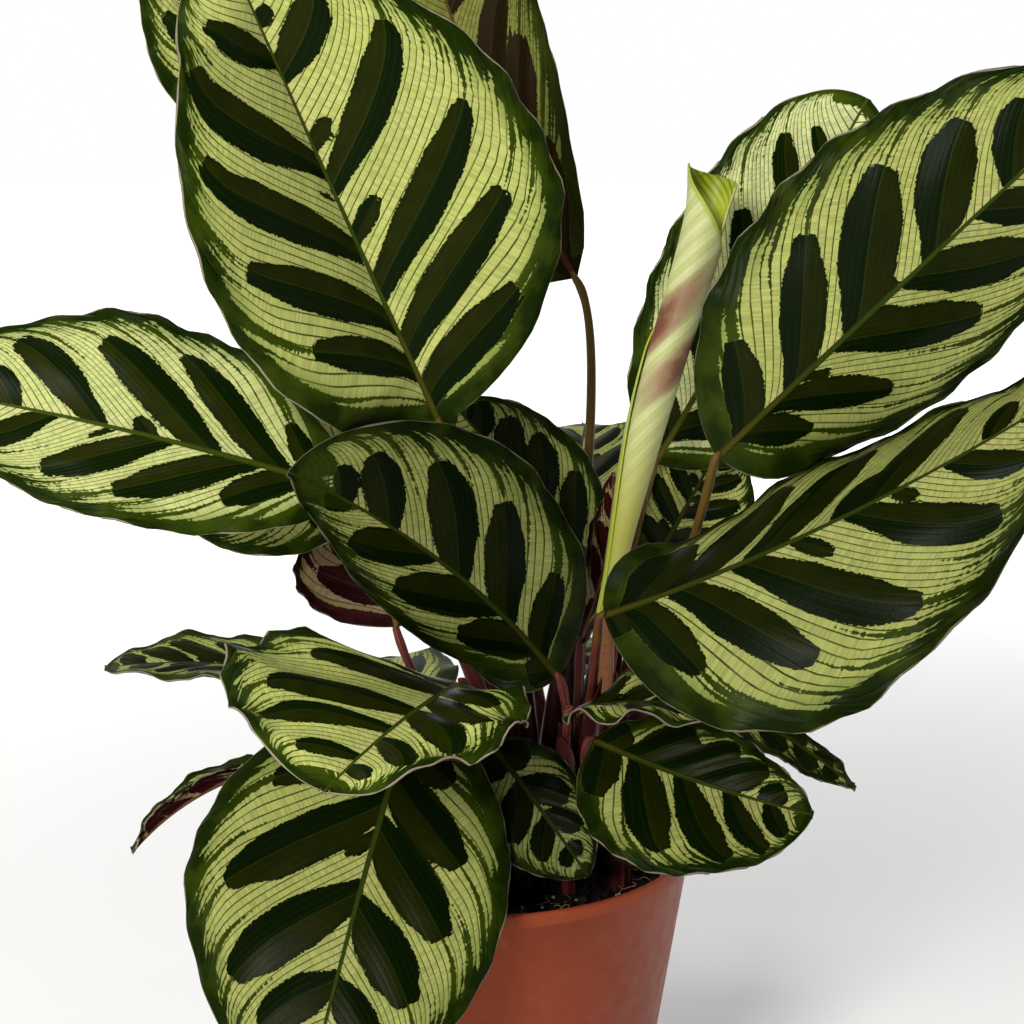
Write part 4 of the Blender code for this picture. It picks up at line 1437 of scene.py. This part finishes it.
@dataclass(frozen=True)
class YoungLeafFinish:
    """Soft new leaf skin: thin and pale, so its veins and the pink tissue show through."""

    name: str = "young_leaf_skin"
    light: str = "#B4B683"
    low: str = "#9A9240"
    stripe: str = "#8F9C4E"
    pink: str = "#82604A"
    red: str = "#5C1E16"
    vein: str = "#6B7330"
    edge: str = "#8C9A26"
    inside: str = "#A8B23C"
    lip: str = "#7F8E12"
    streak: str = "#3C4A08"
    speck: str = "#4A2410"

    def make(self) -> bpy.types.Material:
        """Write the outer side: colour by height, pink patches, slanting veins, a green edge.

        Returns:
            The material.
        """
        r = Recipe(self.name, ("height", "pink", "slant", "free_edge"))
        slant, pink = r.field["slant"], r.field["pink"]
        wide = r.add("Math.MULTIPLY", slant, 0.37)
        wide = r.add("MapRange", r.add("Math.PINGPONG", wide, 0.5), 0.1, 0.4, **SMOOTH)
        patchy = r.add("MapRange", r.clouds(9, 3, 0.3), 0.25, 0.55, 0.6, 0.95, **SMOOTH)
        covered = r.add("MapRange", pink, 0.1, 0.8, **SMOOTH)
        tone = r.coats(self.pink, (r.add("MapRange", pink, 0.75, 1.1, **SMOOTH), self.red))
        fine = r.add("Math.PINGPONG", slant, 0.5)
        veins = r.add("MapRange", fine, 0.0, 0.1, 0.35, 0.0, **SMOOTH)
        colour = r.coats(
            self.low,
            (r.add("MapRange", r.field["height"], 0.15, 0.52, **SMOOTH), self.light),
            (r.add("Math.MULTIPLY", wide, 0.45), self.stripe),
            (r.add("Math.MULTIPLY", covered, patchy), tone),
            (veins, self.vein),
            (r.add("MapRange", r.field["free_edge"], 0.6, 2.2, 0.85, 0.0, **SMOOTH), self.edge))
        height = r.add("Math.SUBTRACT", r.clouds(1.5, 3), veins)
        return r.finish(Base_Color=colour, Roughness=0.4, IOR=1.4, Specular_IOR_Level=0.3,
                        Normal=r.add("Bump", Height=height, Distance=0.12 * MM, Strength=1.0))

    def make_inside(self) -> bpy.types.Material:
        """Write the inner side: bright yellow-green with dark streaks and brown specks at the lip.

        Returns:
            The material.
        """
        r = Recipe(self.name + "_inside", ("height", "slant"))
        height = r.field["height"]
        near_vein = r.add("Math.PINGPONG", r.field["slant"], 0.5)
        streaks = r.add("Math.MULTIPLY", r.add("MapRange", near_vein, 0.1, 0.3, 0.6, 0.0, **SMOOTH),
                        r.add("MapRange", height, 0.88, 0.96, **SMOOTH))
        specks = r.add("Math.MULTIPLY", r.add("MapRange", r.clouds(1.6, 3), 0.5, 0.62, **SMOOTH),
                       r.add("MapRange", height, 0.965, 0.99, **SMOOTH))
        colour = r.coats(self.inside, (r.add("MapRange", height, 0.9, 0.97, **SMOOTH), self.lip),
                         (streaks, self.streak), (specks, self.speck))
        return r.finish(Base_Color=colour, Roughness=0.45, IOR=1.4, Specular_IOR_Level=0.3,
                        Normal=r.add("Bump", Height=r.clouds(1.5, 3), Distance=0.1 * MM, Strength=1.0))


@dataclass
class RolledLeaf:
    """The youngest leaf: one thin sheet wound into a slim cone with a slanting mouth."""

    name: str = "leaf_07_rolled"
    axis: tuple = (((40, -32, 212), 3.0), ((43, -32, 225), 3.8), ((46, -32, 243), 4.7),
                   ((50, -32, 263), 6.0), ((55, -32, 282), 7.1), ((60, -32, 300), 7.5),
                   ((65, -32, 318), 7.0), ((69, -32, 335), 7.0), ((71, -32, 343), 7.6))
    free_edge: tuple = ((212, 225), (254, 212), (294, 180), (309, 90), (324, -20), (336, -95),
                        (349, -190))            # mm of height, and degrees from +X there
    last_angle: float = -385.0      # degrees from +X where the sheet ends inside the roll
    step: float = 0.17              # how much smaller the radius is after one turn
    top: float = 349.0              # mm, the tip at the left of the mouth
    mouth_drop: float = 7.0         # mm that the mouth's right side is lower than this tip
    flare: float = 0.12             # how much wider the mouth is
    flare_from: float = 0.88        # share of the height
    thickness: float = 0.6          # mm
    rim_bulge: float = 0.2          # mm
    vein_gap: float = 2.6           # mm between the slanting veins
    vein_slant: float = 7.0         # mm that a vein climbs for each radian round the roll
    patches: tuple = ((309, 8, 9, -1), (286, 6, 8, 1))
    rows: int = 110
    columns: int = 90
    levels: int = 400               # heights at which the free edge is worked out
    smoothing: int = 20             # levels to each side that it is averaged over

    def pink(self, z: np.ndarray, angle: np.ndarray) -> np.ndarray:
        """How pink a place is, from 0: for each patch, a bell in height whose middle slants.

        A patch is (height, slant, half height, side), in millimetres, with the side where it is
        strongest: -1 for -X and 1 for +X.

        Args:
            z: heights in millimetres.
            angle: angles round the roll in radians.

        Returns:
            A number for each place.
        """
        x = np.cos(angle)
        total = np.zeros_like(z)
        for height, slant, half, side in self.patches:
            bell = np.exp(-((z - height - slant * x) / half) ** 4)
            total = np.maximum(total, bell * (0.75 + 0.4 * side * x))
        return total

    def edge_angle(self, z: np.ndarray, low: float) -> np.ndarray:
        """The angle in radians where the sheet's free edge is at a height, smoothed over levels.

        Args:
            z: heights in millimetres.
            low: the height where the sheet starts.

        Returns:
            The angles.
        """
        levels = np.linspace(low, self.top, self.levels)
        heights, angles = np.array(self.free_edge, dtype=float).T
        padded = np.pad(np.interp(levels, heights, angles), self.smoothing, mode="edge")
        window = 2 * self.smoothing + 1
        smooth = np.convolve(padded, np.ones(window) / window, mode="valid")
        return np.radians(np.interp(z, levels, smooth))

    def build(self, skin: bpy.types.Material, inside: bpy.types.Material) -> bpy.types.Object:
        """Build and dress the roll.

        The sheet is a grid of height and of share round the roll. It starts at a free edge whose
        angle follows a smooth curve of height, which makes this edge climb round the roll, and it
        ends at one angle. Its radius shrinks a little with each turn, and its centre and radius
        follow smooth curves fitted through the axis.

        Args:
            skin: the material of the outer side.
            inside: the material of the inner side.

        Returns:
            The roll.
        """
        places = np.array([place for place, _ in self.axis], dtype=float)
        radii = np.array([radius for _, radius in self.axis])
        low = places[0, 2]
        scale = (places[:, 2] - low) / (self.top - low)
        centre_fit, radius_fit = np.polyfit(scale, places[:, 0], 4), np.polyfit(scale, radii, 4)
        height, wind = np.meshgrid(np.linspace(0, 1, self.rows), np.linspace(1, 0, self.columns),
                                   indexing="ij")
        z = low + height * (self.top - low - self.mouth_drop * wind)
        share = (z - low) / (self.top - low)
        first = self.edge_angle(z, low)
        angle = first + wind * (math.radians(self.last_angle) - first)
        turns = (first - angle) / (2 * np.pi)
        flare = 1 + self.flare * smooth_step(self.flare_from, 1.0, share)
        radius = np.polyval(radius_fit, share) * (1 - self.step * turns) * flare
        centre = np.polyval(centre_fit, share)
        outer, inner = (
            np.stack([centre + r * np.cos(angle), places[0, 1] + r * np.sin(angle), z], -1) * MM
            for r in (radius, radius - self.thickness))
        vertices, faces, picks, source = Sheet(outer, inner, self.rim_bulge * MM).solid()
        fields = {"height": share, "slant": (z - self.vein_slant * angle) / self.vein_gap,
                  "free_edge": (first - angle) * radius, "pink": self.pink(z, angle)}
        values = {key: value.ravel()[source] for key, value in fields.items()}
        piece = put_piece(self.name, vertices, faces, "young_leaf", [skin, inside], picks, values)
        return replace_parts(piece, self.name)


@dataclass(frozen=True)
class PotFinish:
    """Injection-moulded polypropylene in terracotta colour: satin, with faint flow streaks."""

    name: str = "terracotta_polypropylene"
    body: str = "#8A3E22"
    deep: str = "#762F16"
    dust: str = "#A86446"

    def make(self) -> bpy.types.Material:
        """Write the material: two near tones, fine mould grain and a few dusty patches.

        Returns:
            The material.
        """
        r = Recipe(self.name)
        dusty = r.add("MapRange", r.clouds(5, 6, 0.3), 0.55, 0.8, 0.0, 0.22, **SMOOTH)
        return r.finish(
            Base_Color=r.coats(self.body, (r.clouds(30, 3), self.deep), (dusty, self.dust)),
            Roughness=r.add("MapRange", r.clouds(7, 4, 0.6), *SOFT, 0.4, 0.52, **SMOOTH),
            IOR=1.49, Specular_IOR_Level=0.14,
            Normal=r.add("Bump", Height=r.clouds(0.6, 2), Distance=0.03 * MM, Strength=1.0))


@dataclass
class Pot:
    """The tapered nursery pot with its rim band and drainage holes, in millimetres."""

    height: float = 129.0
    rim_radius: float = 73.0
    foot_radius: float = 52.0
    wall: float = 1.6
    floor: float = 2.2
    floor_bend: float = 1.2         # height over which the floor turns up into the wall
    band_height: float = 4.5
    band_step: float = 1.6
    edge: float = 0.8               # radius of the rounded edges
    middle: float = 60.0            # height of one more ring, half-way up
    holes: int = 6
    hole_radius: float = 4.0
    hole_circle: float = 32.0
    hole_span: tuple = (-3.0, 6.0)  # heights that each cutter runs between
    steps: int = 180

    def inner(self, height: float) -> float:
        """The inner radius at a height."""
        spread = self.rim_radius - self.band_step - self.foot_radius
        return self.foot_radius + spread * height / self.height - self.wall

    def profile(self) -> np.ndarray:
        """The wall's outline, radius and height, from the middle of the floor over the rim down.

        The lip is rounded by quarter circles, and the other edges by two short steps.

        Returns:
            A row for each corner.
        """
        band = self.height - self.band_height
        rim, e = self.rim_radius, self.edge
        lip = rim - self.wall
        round_in = [(lip + e * (1 - math.cos(a)) * 0.6, self.height - e + e * math.sin(a))
                    for a in np.linspace(0, math.pi / 2, 5)]
        round_out = [(rim - e + e * math.sin(a), self.height - e + e * math.cos(a))
                     for a in np.linspace(0, math.pi / 2, 6)]
        bend = self.floor + self.floor_bend
        return np.array([
            (0, self.floor), (self.inner(self.floor) - 2, self.floor), (self.inner(bend), bend),
            (self.inner(self.middle), self.middle), (self.inner(band), band), (lip, band + e),
            *round_in, *round_out,
            (rim, band + e / 2), (rim - e / 3, band + e / 8), (rim - e, band),
            (self.inner(band) + self.wall + 0.2, band - 0.1),
            (self.inner(self.middle) + self.wall, self.middle),
            (self.foot_radius, e), (self.foot_radius - e / 3, e / 4), (self.foot_radius - e, 0), (0, 0)])

    def cutter(self, number: int) -> bpy.types.Object:
        """An upright round rod where one drainage hole goes.

        Args:
            number: which hole it is for.

        Returns:
            The rod.
        """
        turn = 2 * math.pi * (number + 0.5) / self.holes
        x, y = self.hole_circle * math.cos(turn), self.hole_circle * math.sin(turn)
        path = np.array([(x, y, z) for z in np.linspace(*self.hole_span, 4)]) * MM
        points, faces = tube(path, np.full(len(path), self.hole_radius * MM), 32)
        mesh = bpy.data.meshes.new("hole")
        mesh.from_pydata(points, [], faces)
        rod = bpy.data.objects.new("hole", mesh)
        bpy.context.scene.collection.objects.link(rod)
        return rod

    def build(self, plastic: bpy.types.Material) -> bpy.types.Object:
        """Turn the profile round the upright axis, and cut the drainage holes.

        Args:
            plastic: its material.

        Returns:
            The pot.
        """
        radius, height = self.profile().T * MM
        rings = turned(radius[1:-1], height[1:-1], self.steps)
        ends = ((0, 0, height[0]), (0, 0, height[-1]))
        pot = put_piece("pot_shell", *closed_rings(rings, ends, downward=True), "pot", [plastic])
        cutters = [self.cutter(number) for number in range(self.holes)]
        for rod in cutters:
            cut = pot.modifiers.new("hole", "BOOLEAN")
            cut.object, cut.solver = rod, "EXACT"
        bpy.context.view_layer.update()
        cut_mesh = bpy.data.meshes.new_from_object(pot.evaluated_get(bpy.context.evaluated_depsgraph_get()))
        pot.modifiers.clear()
        pot.data = cut_mesh
        for rod in cutters:
            bpy.data.objects.remove(rod)
        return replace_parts(pot, "pot")


@dataclass(frozen=True)
class SoilFinish:
    """Peat potting mix: nearly black, matt, with brown fibres."""

    name: str = "peat_potting_mix"
    dark: str = "#050403"
    brown: str = "#1B140E"

    def make(self) -> bpy.types.Material:
        """Write the material: crumbs of two tones over a rough relief.

        Returns:
            The material.
        """
        r = Recipe(self.name)
        crumbs = r.add("MapRange", r.clouds(3, 6), 0.4, 0.7, **SMOOTH)
        return r.finish(
            Base_Color=r.coats(self.dark, (crumbs, self.brown)), Roughness=0.95, Specular_IOR_Level=0.12,
            Normal=r.add("Bump", Height=r.clouds(1.2, 8), Distance=0.8 * MM, Strength=1.0))


@dataclass(frozen=True)
class PlainFinish:
    """A small natural grain or fibre in one tone with soft variation."""

    name: str
    light: str
    dark: str
    roughness: float = 0.8

    def make(self) -> bpy.types.Material:
        """Write the material.

        Returns:
            The material.
        """
        r = Recipe(self.name)
        return r.finish(Base_Color=r.coats(self.light, (r.clouds(2, 3), self.dark)),
                        Roughness=self.roughness, Specular_IOR_Level=0.3,
                        Normal=r.add("Bump", Height=r.clouds(0.5, 3), Distance=0.1 * MM, Strength=1.0))


# Expanded perlite: puffed volcanic glass, so its grains are matt and off-white.
PERLITE = PlainFinish("expanded_perlite", "#B9B4A6", "#7F786A")

# Dry root fibre: dead and bleached, so it is pale straw.
ROOT_FIBRE = PlainFinish("dry_root_fibre", "#A89C84", "#6E5C48", 0.7)

# Coir: combed coconut husk in the potting mix, so it is red-brown.
COIR = PlainFinish("coir_fibre", "#9C6A50", "#643826", 0.7)

# Young stalk skin: redder and softer than an old stalk's.
YOUNG_STALK_SKIN = StalkFinish("young_stalk_skin", "#2A0A10", "#521E1A", "#6A442A", "#924A42")

# Sheath skin: thin dry purple tissue with painted shade, darkened to nearly black for the shade of the
# crown.
SHADED_SHEATH_SKIN = StalkFinish("sheath_skin_painted_shade", "#100406", "#2A0B0C", "#3A1614", "#7C3438")


@dataclass
class Soil:
    """The soil that fills the pot, with crumbs, fine roots and white perlite on it, in millimetres."""

    level: float = 120.0
    mound: float = 3.5
    spread: float = 30.0            # how far out the mound reaches
    crown: tuple = (22.0, -8.0)     # its middle
    edge: float = 67.6              # radius at the level
    floor: float = 2.5
    floor_radius: float = 49.8
    relief: float = 1.0             # height of the lumps that the solid has too
    rings: int = 90
    sides: int = 180
    crumbs: int = 700
    crumb_radius: tuple = (0.5, 1.6)
    perlite: int = 210
    perlite_radius: tuple = (0.15, 0.55)
    roots: int = 60
    rim_roots: int = 160
    root_radius: tuple = (0.07, 0.17)
    root_arc: tuple = (0.3, 2.6)    # how high a root's middle stands off the soil
    seed: int = 7

    def height(self, x: np.ndarray, y: np.ndarray) -> np.ndarray:
        """The surface in millimetres: a low mound with the solids' lumps and finer ones on it.

        The mound is a bell round the crown, and the lumps are products of sines of x and y.

        Args:
            x, y: places in millimetres.

        Returns:
            The heights.
        """
        away = np.hypot(x - self.crown[0], y - self.crown[1])
        mound = self.mound * np.exp(-(away / self.spread) ** 2)
        coarse = np.sin(0.19 * x + 1.1) * np.cos(0.23 * y - 0.4)
        fine = np.sin(0.43 * x - 0.37 * y + 0.7)
        grit = 0.45 * np.sin(1.3 * x + 0.8 * y) * np.cos(1.1 * y - 0.7 * x)
        grit = grit + 0.3 * np.sin(2.7 * x - 1.9 * y + 2) * np.sin(2.3 * y + 1.4 * x)
        return self.level + mound + self.relief * (0.7 * coarse + 0.3 * fine) + grit

    def lumps(self, chance: np.random.Generator, count: int, size: tuple, sink: float) -> tuple:
        """Small uneven stones on the soil: spheres of few faces, each stretched and turned.

        Args:
            chance: the random numbers.
            count: how many.
            size: smallest and largest radius in millimetres.
            sink: how deep each sits, as a share of its radius.

        Returns:
            Points and faces.
        """
        rows, sides = 5, 7
        lat = np.linspace(0, np.pi, rows + 2)[1:-1]
        ball, one = closed_rings(turned(np.sin(lat), np.cos(lat), sides), ((0, 0, 1), (0, 0, -1)), True)
        where = np.sqrt(chance.uniform(0, 1, count)) * (self.edge - 2.5)
        turn = chance.uniform(0, 2 * np.pi, count)
        x, y = where * np.cos(turn), where * np.sin(turn)
        radius = chance.uniform(size[0], size[1], count)
        rough = 1 + chance.uniform(-0.25, 0.25, (count, len(ball), 1))
        stretch = chance.uniform(0.7, 1.3, (count, 1, 3))
        spin = chance.uniform(0, 2 * np.pi, count)
        made = ball[None] * rough * stretch * radius[:, None, None]
        cos, sin = np.cos(spin)[:, None], np.sin(spin)[:, None]
        tilted = np.stack([made[..., 0] * cos - made[..., 2] * sin, made[..., 1],
                           made[..., 0] * sin + made[..., 2] * cos], -1)
        z = self.height(x, y) + radius * (1 - 2 * sink)
        stones = (tilted + np.stack([x, y, z], -1)[:, None]) * MM
        return joined([(stone, one) for stone in stones])

    def fibres(self, chance: np.random.Generator, number: int, inner: float) -> tuple:
        """Fine roots that wander over the soil: thin tubes along random walks that stay on it.

        Args:
            chance: the random numbers.
            number: how many.
            inner: the share of the soil's radius where they begin.

        Returns:
            Points and faces.
        """
        made = []
        for _ in range(number):
            count = int(chance.integers(10, 20))
            where = math.sqrt(chance.uniform(inner ** 2, 1)) * (self.edge - 4)
            turn = chance.uniform(0, 2 * math.pi)
            heading = chance.uniform(0, 2 * math.pi) + np.cumsum(chance.normal(0, 0.55, count))
            stride = chance.uniform(0.5, 1.4)
            x = where * math.cos(turn) + np.cumsum(np.cos(heading)) * stride
            y = where * math.sin(turn) + np.cumsum(np.sin(heading)) * stride
            reach = np.maximum(np.hypot(x, y) / (self.edge - 1.5), 1)
            x, y = x / reach, y / reach
            arc = np.sin(np.linspace(0, np.pi, count)) * chance.uniform(*self.root_arc)
            path = np.stack([x, y, self.height(x, y) + 0.2 + arc], -1) * MM
            thin = chance.uniform(*self.root_radius) * MM * np.linspace(1, 0.6, count)
            made.append(tube(path, thin, 5))
        return joined(made)

    def bed(self) -> tuple:
        """The soil itself: rings of the uneven surface, then two rings down the side to the floor.

        Returns:
            Points and faces.
        """
        inner = np.linspace(0, self.edge, self.rings + 1)[1:]
        radius = np.append(inner, [(self.edge + self.floor_radius) / 2, self.floor_radius])
        height = np.append(np.zeros(self.rings), [self.level * 0.5, self.floor])
        rings = turned(radius, height, self.sides)
        top = rings[:self.rings]
        top[..., 2] = self.height(top[..., 0], top[..., 1])
        middle = float(self.height(np.array(0.0), np.array(0.0)))
        ends = np.array([(0, 0, middle), (0, 0, self.floor)])
        return closed_rings(rings * MM, ends * MM, downward=True)

    def build(self) -> None:
        """Build and dress the soil, its crumbs, perlite and roots."""
        peat = SoilFinish().make()
        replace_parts(put_piece("soil_bed", *self.bed(), "soil", [peat]), "soil")
        chance = np.random.default_rng(self.seed)
        crumbs = self.lumps(chance, self.crumbs, self.crumb_radius, 0.35)
        put_piece("soil_crumbs", *crumbs, "soil", [peat])
        perlite = self.lumps(chance, self.perlite, self.perlite_radius, 0.1)
        put_piece("soil_perlite", *perlite, "soil", [PERLITE.make()])
        roots = self.fibres(chance, self.roots, 0.2)
        put_piece("soil_roots", *roots, "soil", [ROOT_FIBRE.make()])
        rim_roots = self.fibres(chance, self.rim_roots, 0.8)
        put_piece("soil_rim_roots", *rim_roots, "soil", [COIR.make()])


@dataclass(frozen=True)
class Lamp:
    """One square soft lamp that faces the middle of the plant."""

    name: str
    place: tuple
    size: float                     # m
    power: float                    # W
    colour: str = "#FFFFFF"
    target: tuple = (0.0, 0.0, 0.22)

    def build(self) -> None:
        """Place the lamp and turn it to its target."""
        data = bpy.data.lights.new(self.name, "AREA")
        data.size, data.energy, data.color = self.size, self.power, linear(self.colour)[:3]
        lamp = bpy.data.objects.new(self.name, data)
        lamp.location = self.place
        aim = np.array(self.target) - np.array(self.place)
        lamp.rotation_euler = (math.atan2(math.hypot(aim[0], aim[1]), -aim[2]), 0,
                               math.atan2(aim[0], -aim[1]) + math.pi)
        bpy.context.scene.collection.objects.link(lamp)


@dataclass
class Studio:
    """Camera, pale floor and soft light, in metres."""

    camera_place: tuple = (0.0109, -0.5476, 0.3459)
    pitch: float = -11.2            # degrees above the horizon
    lens: float = 60.0              # mm
    sensor: float = 36.0            # mm
    floor_reach: float = 60.0
    glow: tuple = (0.2, 1.5, 0.12, 1.0)     # of the floor: from and to where, and how much
    front_light: float = 0.22       # radiance of the room on the camera's side
    back_light: float = 1.0         # radiance of the white wall behind the plant
    wall_turn: tuple = (-0.1, 0.5)  # direction along Y from where to where the wall begins
    ceiling_turn: tuple = (0.2, 0.7)        # direction along Z where the ceiling begins
    ceiling_light: float = 0.5      # share of the light that it gives
    horizon: tuple = (0.04, 0.07)   # direction along Z where the low white strip ends
    lamps: tuple = (Lamp("key", (-0.65, -1.4, 0.85), 0.5, 26, "#FFFDF6"),
                    Lamp("top", (0.0, -0.2, 1.6), 0.35, 6), Lamp("back", (-0.7, 0.9, 1.4), 0.7, 5))

    def camera(self) -> None:
        """Place the camera at the photograph's viewing angle."""
        data = bpy.data.cameras.new("camera")
        data.lens, data.sensor_width = self.lens, self.sensor
        data.clip_start, data.clip_end = 0.01, 2 * self.floor_reach
        camera = bpy.data.objects.new("camera", data)
        camera.location = self.camera_place
        camera.rotation_euler = (math.radians(90 + self.pitch), 0, 0)
        bpy.context.scene.collection.objects.link(camera)
        bpy.context.scene.camera = camera

    def floor(self) -> None:
        """Add a wide sheet of matt white paper, lit evenly by its own glow far from the plant."""
        reach = self.floor_reach
        mesh = bpy.data.meshes.new("floor")
        ground = [(-reach, -reach, 0), (reach, -reach, 0), (reach, reach, 0), (-reach, reach, 0)]
        mesh.from_pydata(ground, [], [(0, 1, 2, 3)])
        floor = bpy.data.objects.new("floor", mesh)
        bpy.context.scene.collection.objects.link(floor)
        paper = Recipe("matt_paper")
        away = paper.add("VectorMath.LENGTH", paper.add("TexCoord").outputs["Object"])
        mesh.materials.append(paper.finish(
            Base_Color="#E9E9E9", Roughness=0.9, Specular_IOR_Level=0.1, Emission_Color="#FFFFFF",
            Emission_Strength=paper.add("MapRange", away, *self.glow, **SMOOTH)))

    def room(self) -> None:
        """Set the surroundings: a white wall behind the plant, a dim room on the camera's side.

        A low strip at the horizon is white all round, so that the floor seems to run on in any view.
        """
        world = bpy.data.worlds.new("surroundings")
        world.use_nodes = True
        tree = world.node_tree
        way = add_node(tree, "SeparateXYZ", add_node(tree, "TexCoord").outputs["Generated"]).outputs
        wall = add_node(tree, "MapRange", way["Y"], *self.wall_turn, self.front_light, self.back_light,
                        **SMOOTH)
        ceiling = add_node(tree, "MapRange", way["Z"], *self.ceiling_turn, 1.0, self.ceiling_light,
                           **SMOOTH)
        strip = add_node(tree, "MapRange", way["Z"], *self.horizon, self.back_light, 0.0)
        light = add_node(tree, "Math.MULTIPLY", wall, ceiling)
        light = add_node(tree, "Math.MAXIMUM", light, strip)
        background = tree.nodes["Background"]
        feed(tree, background.inputs["Color"], "#FFFFFF")
        feed(tree, background.inputs["Strength"], light)
        bpy.context.scene.world = world

    def build(self) -> None:
        """Build the camera, the floor, the surroundings and the lamps."""
        self.camera()
        self.floor()
        self.room()
        for lamp in self.lamps:
            lamp.build()
        bpy.context.scene.view_settings.view_transform = "Standard"


def main() -> None:
    """Build the plant piece by piece in its frame."""
    logging.basicConfig(level=logging.INFO, format="%(name)s: %(message)s")
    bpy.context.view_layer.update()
    Studio().build()
    upper, under, aged = UPPER_SKIN.make(), UNDER_SKIN.make(), AGED_SKIN.make()
    skins = {**dict.fromkeys(OLD_LEAVES, aged), **dict.fromkeys(FOLDED_LEAVES, under)}
    stalk_skin = StalkFinish().make()
    stalks = []
    for leaf in LEAVES:
        Blade(leaf).build(skins.get(leaf.number, upper), under)
        stalk = Stalk(f"leaf_{leaf.number:02d}_stalk", leaf.crown, leaf.base,
                      tuple(np.subtract(leaf.tip, leaf.base)), leaf.bend, leaf.arrive, leaf.handle)
        stalk.build(stalk_skin)
        stalks.append(stalk)
    young = YoungLeafFinish()
    RolledLeaf().build(young.make(), young.make_inside())
    young_stalk = Stalk("leaf_07_stalk", (42, -16), (40, -32, 212), (0, 0, 1), end_radius=3.0, knee=0.0,
                        tones=(110.0, 215.0))
    young_stalk.build(YOUNG_STALK_SKIN.make())
    Sheaths(stalks + [young_stalk]).build(SHADED_SHEATH_SKIN.make())
    Pot().build(PotFinish().make())
    Soil().build()


if __name__ == "__main__":
    main()
